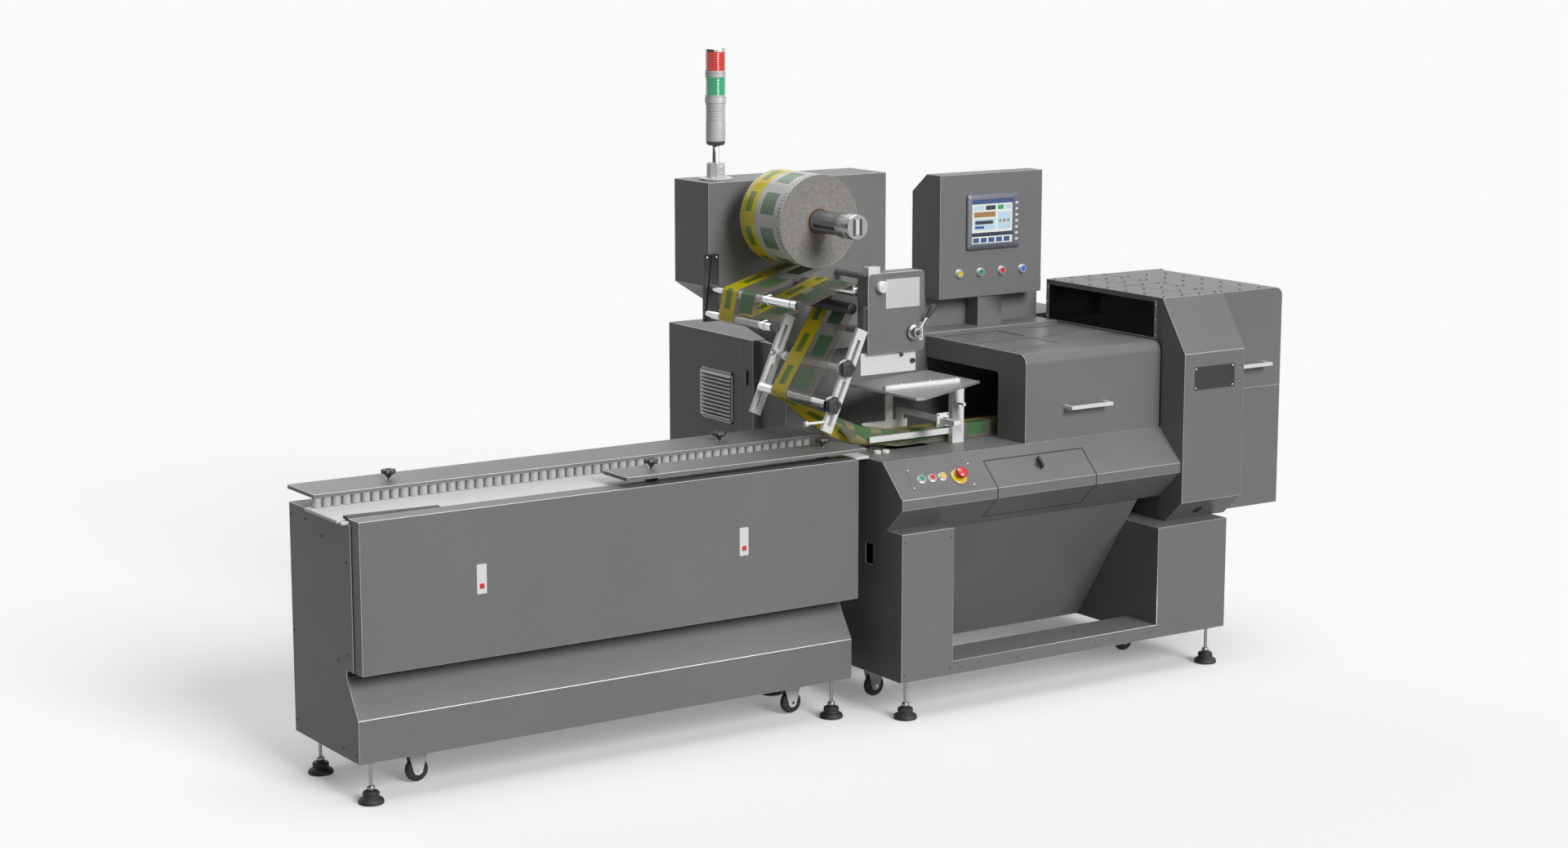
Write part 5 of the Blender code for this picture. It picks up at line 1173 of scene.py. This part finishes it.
def gearbox():
    front = -0.05
    flat = lambda c, n: c.z < 1.1995 and c.y < -0.02
    refine("tension_gearbox", STEEL, 0.0016, drop=lambda c, n: c.y < front - 0.0005, paint=((WHITE, flat),))
    profile = (
        (0.0195, 0.0), (0.02, -0.002), (0.02, -0.015), (0.018, -0.018), (0.012, -0.019), (0.011, -0.0175),
        (0.008, -0.0175), (0.0075, -0.0195), (0.0, -0.02))
    piece("gearbox_knob", ROOT, WHITE, only(turned, profile, (1.834, front, 1.418), "y", 36))
    piece(
        "gearbox_label", ROOT, PLATE_GREY,
        only(prism, rounded((1.855, 1.345), (1.99, 1.44), 0.002), "y", front - 0.0008, front + 0.0002), 0.0002)
    piece(
        "gearbox_scale", ROOT, WHITE,
        only(prism, rounded((1.99, 1.232), (2.004, 1.292), 0.0015), "y", front - 0.0007, front + 0.0002), 0.0002)

    def scale_marks(bm):
        for number in range(4):
            z = 1.24 + number * 0.0135
            box(bm, (1.9935, front - 0.001, z), (2.0005, front - 0.0006, z + 0.0045))

    piece("gearbox_scale_marks", ROOT, BLACK, scale_marks)
    piece(
        "gearbox_end_block", ROOT, WHITE, only(box, (1.788, -0.048, 1.456), (1.834, -0.016, 1.483)),
        0.0015)

    def clamp(bm):
        turned(bm, ((0.009, 0.0), (0.01, -0.001), (0.01, -0.018), (0.009, -0.019)), (1.786, -0.04, 1.352), "x", 20)
        prism(bm, [(1.766, 1.36), (1.78, 1.36), (1.781, 1.276), (1.773, 1.268), (1.765, 1.276)], "y", -0.05, -0.032)

    piece("gearbox_clamp_lever", ROOT, BLACK, clamp, 0.002)
    x, z = 1.964, 1.262

    def dial(bm):
        shape = (
            (0.0255, 0.0), (0.026, -0.001), (0.026, -0.009), (0.023, -0.012), (0.017, -0.013), (0.017, -0.026),
            (0.015, -0.0295), (0.009, -0.03), (0.007, -0.028), (0.0, -0.028))
        turned(bm, shape, (x, front - 0.0003, z), "y", 40)

    lever = BODY["tension_lever"]
    stand_in("tension_lever_hub", "tension_lever", SATIN, dial)
    profile = ((0.0, -0.028), (0.0068, -0.028), (0.0068, -0.0302), (0.005, -0.031), (0.0, -0.031))
    piece("tension_lever_centre", lever, BLACK, only(turned, profile, (x, front - 0.0003, z), "y", 24))
    along = (Vector((2.034, 1.349)) - Vector((x, z))).normalized()
    arm = Matrix.Translation((x, front - 0.0245, z)) @ Matrix.Rotation(-math.atan2(along.y, along.x), 4, "Y")
    rod = ((0.0038, 0.01), (0.0038, 0.072))
    grip = ((0.0055, 0.06), (0.0075, 0.062), (0.0105, 0.094), (0.0102, 0.104), (0.007, 0.11), (0.0, 0.1115))
    piece("tension_lever_rod", lever, SATIN, only(moved, arm, turned, rod, (0.0, 0.0, 0.0), "x", 20))
    piece("tension_lever_grip", lever, RUBBER_AND_PAINTED_SHADOW, only(moved, arm, turned, grip, (0.0, 0.0, 0.0), "x", 20))

    def hanger_screw(bm):
        profile = ((0.008, 0.0), (0.008, -0.008), (0.006, -0.01), (0.0035, -0.01), (0.0035, -0.007), (0.0, -0.007))
        turned(bm, profile, (1.975, -0.032, 1.165), "y", 20)
        turned(bm, ((0.006, 0.0), (0.006, -0.006), (0.0, -0.0065)), (1.93, -0.032, 1.188), "y", 16)

    piece("gearbox_hanger_screws", ROOT, BLACK, hanger_screw)


def forming_unit():
    body = BODY["forming_frame"]
    refine("forming_frame", WHITE, 0.001, drop=lambda c, n: c.y < -0.0725)
    refine("cross_roller", CHROME, 0.0008)
    for number, (x, z) in enumerate(((1.678, 1.17), (1.624, 1.056))):
        piece(
            f"forming_knob_{number + 1}", body, BLACK,
            only(knob, (x, -0.0718, z), "y", 0.0265, 0.0265, -1))
        piece(
            f"forming_nut_{number + 1}", body, CHROME,
            only(hexagon, (x, 0.0, z), "y", 0.0085, 0.333, 0.344))

    def collars(bm):
        for y in (-0.04, 0.3):
            profile = ((0.0112, -0.007), (0.015, -0.006), (0.015, 0.006), (0.0112, 0.007))
            turned(bm, profile, (1.702, y, 1.16), "y", 28)

    piece("forming_tube_collars", body, BRIGHT, collars)


def plough():
    light = lambda c, n: c.z < 1.0295 or c.z > 1.0385
    scale = lambda c, n: 2.0978 < c.x < 2.1242 and 0.944 < c.z < 0.961
    refine("forming_plate", GREY_METAL, 0.0006, paint=((WHITE, light), (BRIGHT, scale)))

    def ticks(bm):
        for number in range(30):
            y = -0.092 + number * 0.01
            wide = 0.01 if number % 5 == 0 else 0.006
            box(bm, (2.1235 - wide, y, 0.9598), (2.1235, y + 0.001, 0.9604))
            box(bm, (2.0976, y, 0.959 - wide), (2.0984, y + 0.001, 0.959))

    piece("ruler_ticks", ROOT, BLACK, ticks)
    piece(
        "ruler_clamp_plate", ROOT, WHITE,
        only(prism, rounded((2.086, 0.93), (2.134, 0.976), 0.003), "y", -0.024, -0.018), 0.0008)
    spots = grid((2.092, 2.128), [-0.024], (0.936, 0.97))
    screws("ruler_clamp_screws", ROOT, BLACK, spots, "y", 0.003, -1)
    profile = (
        (0.006, 0.0), (0.006, -0.005), (0.01, -0.0055), (0.0105, -0.007), (0.0105, -0.015), (0.009, -0.0165),
        (0.0, -0.0165))
    piece("ruler_clamp_knob", ROOT, BLACK, only(turned, profile, (2.11, -0.024, 0.953), "y", 24))

    def plate_screws(bm):
        for x, y in ((2.06, 0.144), (2.18, 0.144), (2.29, 0.144)):
            screw(bm, (x, y, 1.0536), "z", 0.004)
        screw(bm, (2.3, 0.22, 1.0378), "z", 0.006)

    piece("plough_screws", ROOT, CHROME, plate_screws)

    def discs(bm):
        for x, y in ((1.896, 0.05), (1.926, 0.044)):
            profile = (
                (0.012, 0.0), (0.013, 0.001), (0.013, 0.009), (0.011, 0.011), (0.005, 0.0112), (0.005, 0.009),
                (0.0, 0.009))
            turned(bm, profile, (x, y, DECK), "z", 28)

    piece("table_discs", ROOT, WHITE, discs)
    profile = ((0.0048, 0.0), (0.0048, -0.07), (0.0085, -0.072), (0.0095, -0.077), (0.0085, -0.083), (0.0, -0.085))
    piece(
        "forming_side_handle", BODY["forming_frame"], WHITE,
        only(turned, profile, (1.612, -0.065, 1.001), "x", 20))
    profile = (
        (0.0045, 0.0), (0.0045, -0.03), (0.007, -0.0305), (0.0075, -0.032), (0.0075, -0.036), (0.006, -0.0375),
        (0.0, -0.0375))
    piece("plough_post_pin", ROOT, CHROME, only(turned, profile, (2.236, 0.0625, 0.985), "y", 20))


def tangent(first, second):
    """Where the film leaves one roller and meets the next: each is (x, z, radius, turn), turn 1 for left."""
    (x0, z0, r0, s0), (x1, z1, r1, s1) = first, second
    dx, dz = x1 - x0, z1 - z0
    heading = math.atan2(dz, dx) - math.asin((s1 * r1 - s0 * r0) / math.hypot(dx, dz))
    normal = (-math.sin(heading), math.cos(heading))
    leaves = (x0 - s0 * r0 * normal[0], z0 - s0 * r0 * normal[1])
    return leaves, (x1 - s1 * r1 * normal[0], z1 - s1 * r1 * normal[1])


def film_line():
    """The film's way in the XZ plane from the reel to where it starts to fold, and where that fold ends."""
    bars = [(*spot, BAR_RADIUS, 1) for spot in BARS.values()]
    rollers = [(*REEL, REEL_RADIUS, -1), *bars, (*FEED, -1), (*NIP, -1), (*CROSS, 1)]
    rollers = [(x, z, radius + CLEAR, turn) for x, z, radius, turn in rollers] + [(*FOLD, 0.0, -1)]
    joints = [tangent(one, other) for one, other in zip(rollers, rollers[1:])]
    points = [joints[0][0]]
    for number, (x, z, radius, turn) in enumerate(rollers[1:-1]):
        arrive, depart = joints[number][1], joints[number + 1][0]
        start = math.atan2(arrive[1] - z, arrive[0] - x)
        sweep = (math.atan2(depart[1] - z, depart[0] - x) - start) * turn % (2 * math.pi) * turn
        steps = max(3, int(abs(sweep) / 0.25))
        for step in range(steps + 1):
            angle = start + sweep * step / steps
            points.append((x + radius * math.cos(angle), z + radius * math.sin(angle)))
    return points, joints[-1][1]


def film_section(fold):
    """Half of the film's cross-section, from its middle to its edge, folded by a share from 0 to 1."""
    half, top, side = WEB_WIDTH / 2, 0.034, 0.05
    lengths = [top / 3] * 3 + [side / 5] * 5 + [(half - top - side) / 4] * 4
    turns = [0.0] * 3 + [90.0] * 5 + [180.0] * 4
    spots = [(0.0, 0.0)]
    for length, angle in zip(lengths, turns):
        y, z = spots[-1]
        bend = math.radians(angle) * fold
        spots.append((y + length * math.cos(bend), z - length * math.sin(bend)))
    return spots


def film():
    points, fold = film_line()
    last = points[-1]
    stations = [(x, z, 0.0, 0.0) for x, z in points]
    count = 20
    for step in range(1, count + 1):
        share = step / count
        x, z = (here + (there - here) * share for here, there in zip(last, fold))
        stations.append((x, z, 0.8 * share**1.5, min(1.0, share)))
    level, start, length = 0.902, 2.02, 1.16  # of the straight run under the hood
    stations += [(1.95, 0.916, 0.9, 1.0), (start, level, 1.0, 1.0)]
    stations += [(start + length * k / count, level, 1.0, 1.0) for k in range(1, count + 1)]
    middle = sum(WEB) / 2
    rows, run, before = [], 0.0, None
    for x, z, share, drift in stations:
        here = Vector((x, z))
        run += (here - before).length if before is not None else 0.0
        before = here
        half = film_section(share)
        line = [(-y, up) for y, up in reversed(half[1:])] + half
        centre = middle + (LANE - middle) * drift
        row, reach = [], 0.0
        for number, (y, up) in enumerate(line):
            if number:
                reach += math.hypot(y - line[number - 1][0], up - line[number - 1][1])
            row.append(((x, centre + y, z + up), run, 1.0 - reach / WEB_WIDTH))
        rows.append(row)
    item = stand_for(printed_sheet("film_web_sheet", rows, FILM, ROOT, 80, 0.0003, 0.0), "film_web")


# ---- signal tower


def tower():
    x, y = 1.525, 0.45
    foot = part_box("tower_base")[0].z

    def column(shape, steps=44):
        return only(turned, shape, (x, y, 0.0), "z", steps)

    base = (
        (0.052, foot), (0.055, foot + 0.001), (0.055, foot + 0.006), (0.052, foot + 0.0076), (0.03, foot + 0.008))
    stand_in("tower_flange", "tower_base", TOWER_GREY, column(base, 40))
    clamp = ((0.0295, foot + 0.0078), (0.03, foot + 0.009), (0.03, foot + 0.0545), (0.029, foot + 0.0557))
    piece("tower_clamp", ROOT, TOWER_GREY, column(clamp, 8), 0.0015)

    def clamp_parts(bm):
        for z in (foot + 0.022, foot + 0.042):
            screw(bm, (x + 0.006, y - 0.0272, z), "y", 0.0042, -1)
        for angle in (45, 135, 225, 315):
            a = math.radians(angle)
            screw(bm, (x + 0.043 * math.cos(a), y + 0.043 * math.sin(a), foot + 0.0076), "z", 0.0045)

    piece("tower_screws", ROOT, CHROME, clamp_parts)
    pole = ((0.012, foot + 0.05), (0.012, foot + 0.1135), (0.011, foot + 0.115))
    piece("tower_pole", ROOT, CHROME, column(pole, 28))
    collar = ((0.024, foot + 0.1127), (0.0275, foot + 0.114), (0.03, foot + 0.118), (0.032, foot + 0.1265))
    piece("tower_collar", ROOT, DARK_STEEL_AND_PAINTED_SHADE, column(collar, 40))
    low, high = foot + 0.1265, foot + 0.253
    barrel = [(0.0318, low), (0.0322, low + 0.002), (0.0322, low + 0.06)]
    for k in range(7):
        z = low + 0.064 + k * 0.0075
        barrel += [(0.0322, z), (0.03, z + 0.0008), (0.03, z + 0.0035), (0.0322, z + 0.0043)]
    barrel += [
        (0.0322, high - 0.004), (0.0348, high - 0.002), (0.035, high + 0.012),
        (0.0345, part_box("green_lens")[0].z - 0.0004)]
    piece("tower_barrel", ROOT, TOWER_GREY, column(barrel), angle=25)
    for node, material in (("green_lens", LENS_GREEN), ("red_lens", LENS_RED)):
        low, high = (corner.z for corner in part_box(node))
        lens = [(0.0312, low + 0.008)]
        for k in range(11):
            z = low + 0.0095 + k * (high - low - 0.023) / 11
            lens += [(0.033, z), (0.0318, z + 0.003)]
        lens += [(0.0325, high - 0.013), (0.0312, high - 0.0125)]
        stand_in(f"{node}_ribs", node, material, column(lens), angle=20)
        band = ((0.03, low), (0.0334, low + 0.0003), (0.0335, low + 0.007), (0.0312, low + 0.0085))
        piece(f"{node}_band", ROOT, TOWER_GREY, column(band))
        if node == "red_lens":
            cap = (
                (0.0312, high - 0.013), (0.0335, high - 0.012), (0.0335, high - 0.003), (0.031, high - 0.0006),
                (0.0, high - 0.0001))
            piece("tower_cap", ROOT, CHROME, column(cap))
        else:
            band = ((0.0312, high - 0.013), (0.0334, high - 0.012), (0.0335, high - 0.0004), (0.03, high - 0.0001))
            piece("tower_middle_band", ROOT, TOWER_GREY, column(band))


# ---- stage


def pale_rays(tree):
    """1 for what the camera, gloss and glass see, which is the pale backdrop, and 0 for diffuse light."""
    path = tree.nodes.new("ShaderNodeLightPath")
    seen = math_node(tree, "MAXIMUM", path.outputs["Is Camera Ray"], path.outputs["Is Glossy Ray"])
    return math_node(tree, "MAXIMUM", seen, path.outputs["Is Transmission Ray"])


def studio():
    scene = bpy.context.scene
    scene.view_settings.view_transform = "Standard"
    world = bpy.data.worlds.new("studio")
    world.use_nodes = True
    scene.world = world
    tree = world.node_tree
    background = tree.nodes["Background"]
    seen = pale_rays(tree)
    tree.links.new(mix_colour(tree, seen, (0.1, 0.1, 0.1), (0.93, 0.93, 0.93)), background.inputs["Color"])
    background.inputs["Strength"].default_value = 1.0

    mesh = bpy.data.meshes.new("floor")
    size = 400.0
    mesh.from_pydata([(-size, -size, 0), (size, -size, 0), (size, size, 0), (-size, size, 0)], [], [(0, 1, 2, 3)])
    added("floor", mesh)
    material = bpy.data.materials.new("floor")
    material.use_nodes = True
    tree = material.node_tree
    tree.nodes.clear()
    output = tree.nodes.new("ShaderNodeOutputMaterial")
    matt = tree.nodes.new("ShaderNodeBsdfDiffuse")
    glow = tree.nodes.new("ShaderNodeEmission")
    seen = pale_rays(tree)
    tree.links.new(mix_colour(tree, seen, (0.22, 0.22, 0.22), (0.95, 0.95, 0.95)), matt.inputs["Color"])
    tree.links.new(math_node(tree, "MULTIPLY", seen, 0.2), glow.inputs["Strength"])
    total = tree.nodes.new("ShaderNodeAddShader")
    tree.links.new(matt.outputs[0], total.inputs[0])
    tree.links.new(glow.outputs[0], total.inputs[1])
    tree.links.new(total.outputs[0], output.inputs["Surface"])
    mesh.materials.append(material)

    for name, way, energy, angle in (
        ("key", (-0.06, 0.86, -0.46), 2.25, 26), ("top", (-0.05, 0.12, -1.0), 0.95, 50),
        ("back", (0.0, -0.9, -0.3), 0.55, 50)
    ):
        sun = bpy.data.lights.new(name, "SUN")
        sun.energy = energy
        sun.angle = math.radians(angle)
        added(name, sun).rotation_euler = Vector(way).to_track_quat("-Z", "Y").to_euler()

    for name, spot, size, power in (
        ("softbox_front", (2.5, -6.0, 3.2), 3.0, 200.0), ("softbox_top", (0.0, 0.5, 5.5), 4.0, 200.0)
    ):
        light = bpy.data.lights.new(name, "AREA")
        light.shape = "SQUARE"
        light.size = size
        light.energy = power
        item = added(name, light)
        item.location = spot
        item.rotation_euler = (Vector((0.0, 0.0, 0.8)) - Vector(spot)).to_track_quat("-Z", "Y").to_euler()
        item.visible_diffuse = False

    card = bpy.data.meshes.new("dark_card")
    card.from_pydata([(-7, -7, 0.2), (-7, 8, 0.2), (-7, 8, 4.5), (-7, -7, 4.5)], [], [(0, 1, 2, 3)])
    item = added("dark_card", card)
    card.materials.append(DARK_STEEL_AND_PAINTED_SHADE)
    item.visible_camera = item.visible_diffuse = item.visible_shadow = item.visible_transmission = False

    camera = bpy.data.cameras.new("camera")
    camera.lens = 66.43
    camera.sensor_width = 36.0
    camera.clip_end = 500.0
    item = added("camera", camera)
    item.location = (-5.3145, -8.06285, 2.6115)
    item.rotation_euler = (math.pi / 2 - 0.1757, 0.0, -0.5892)
    scene.camera = item


studio()
infeed()
guides()
chain()
feet()
casters()
pedestal()
console()
hood()
end_seal()
cabinet()
operator_panel()
film_unit()
gearbox()
forming_unit()
plough()
film()
tower()
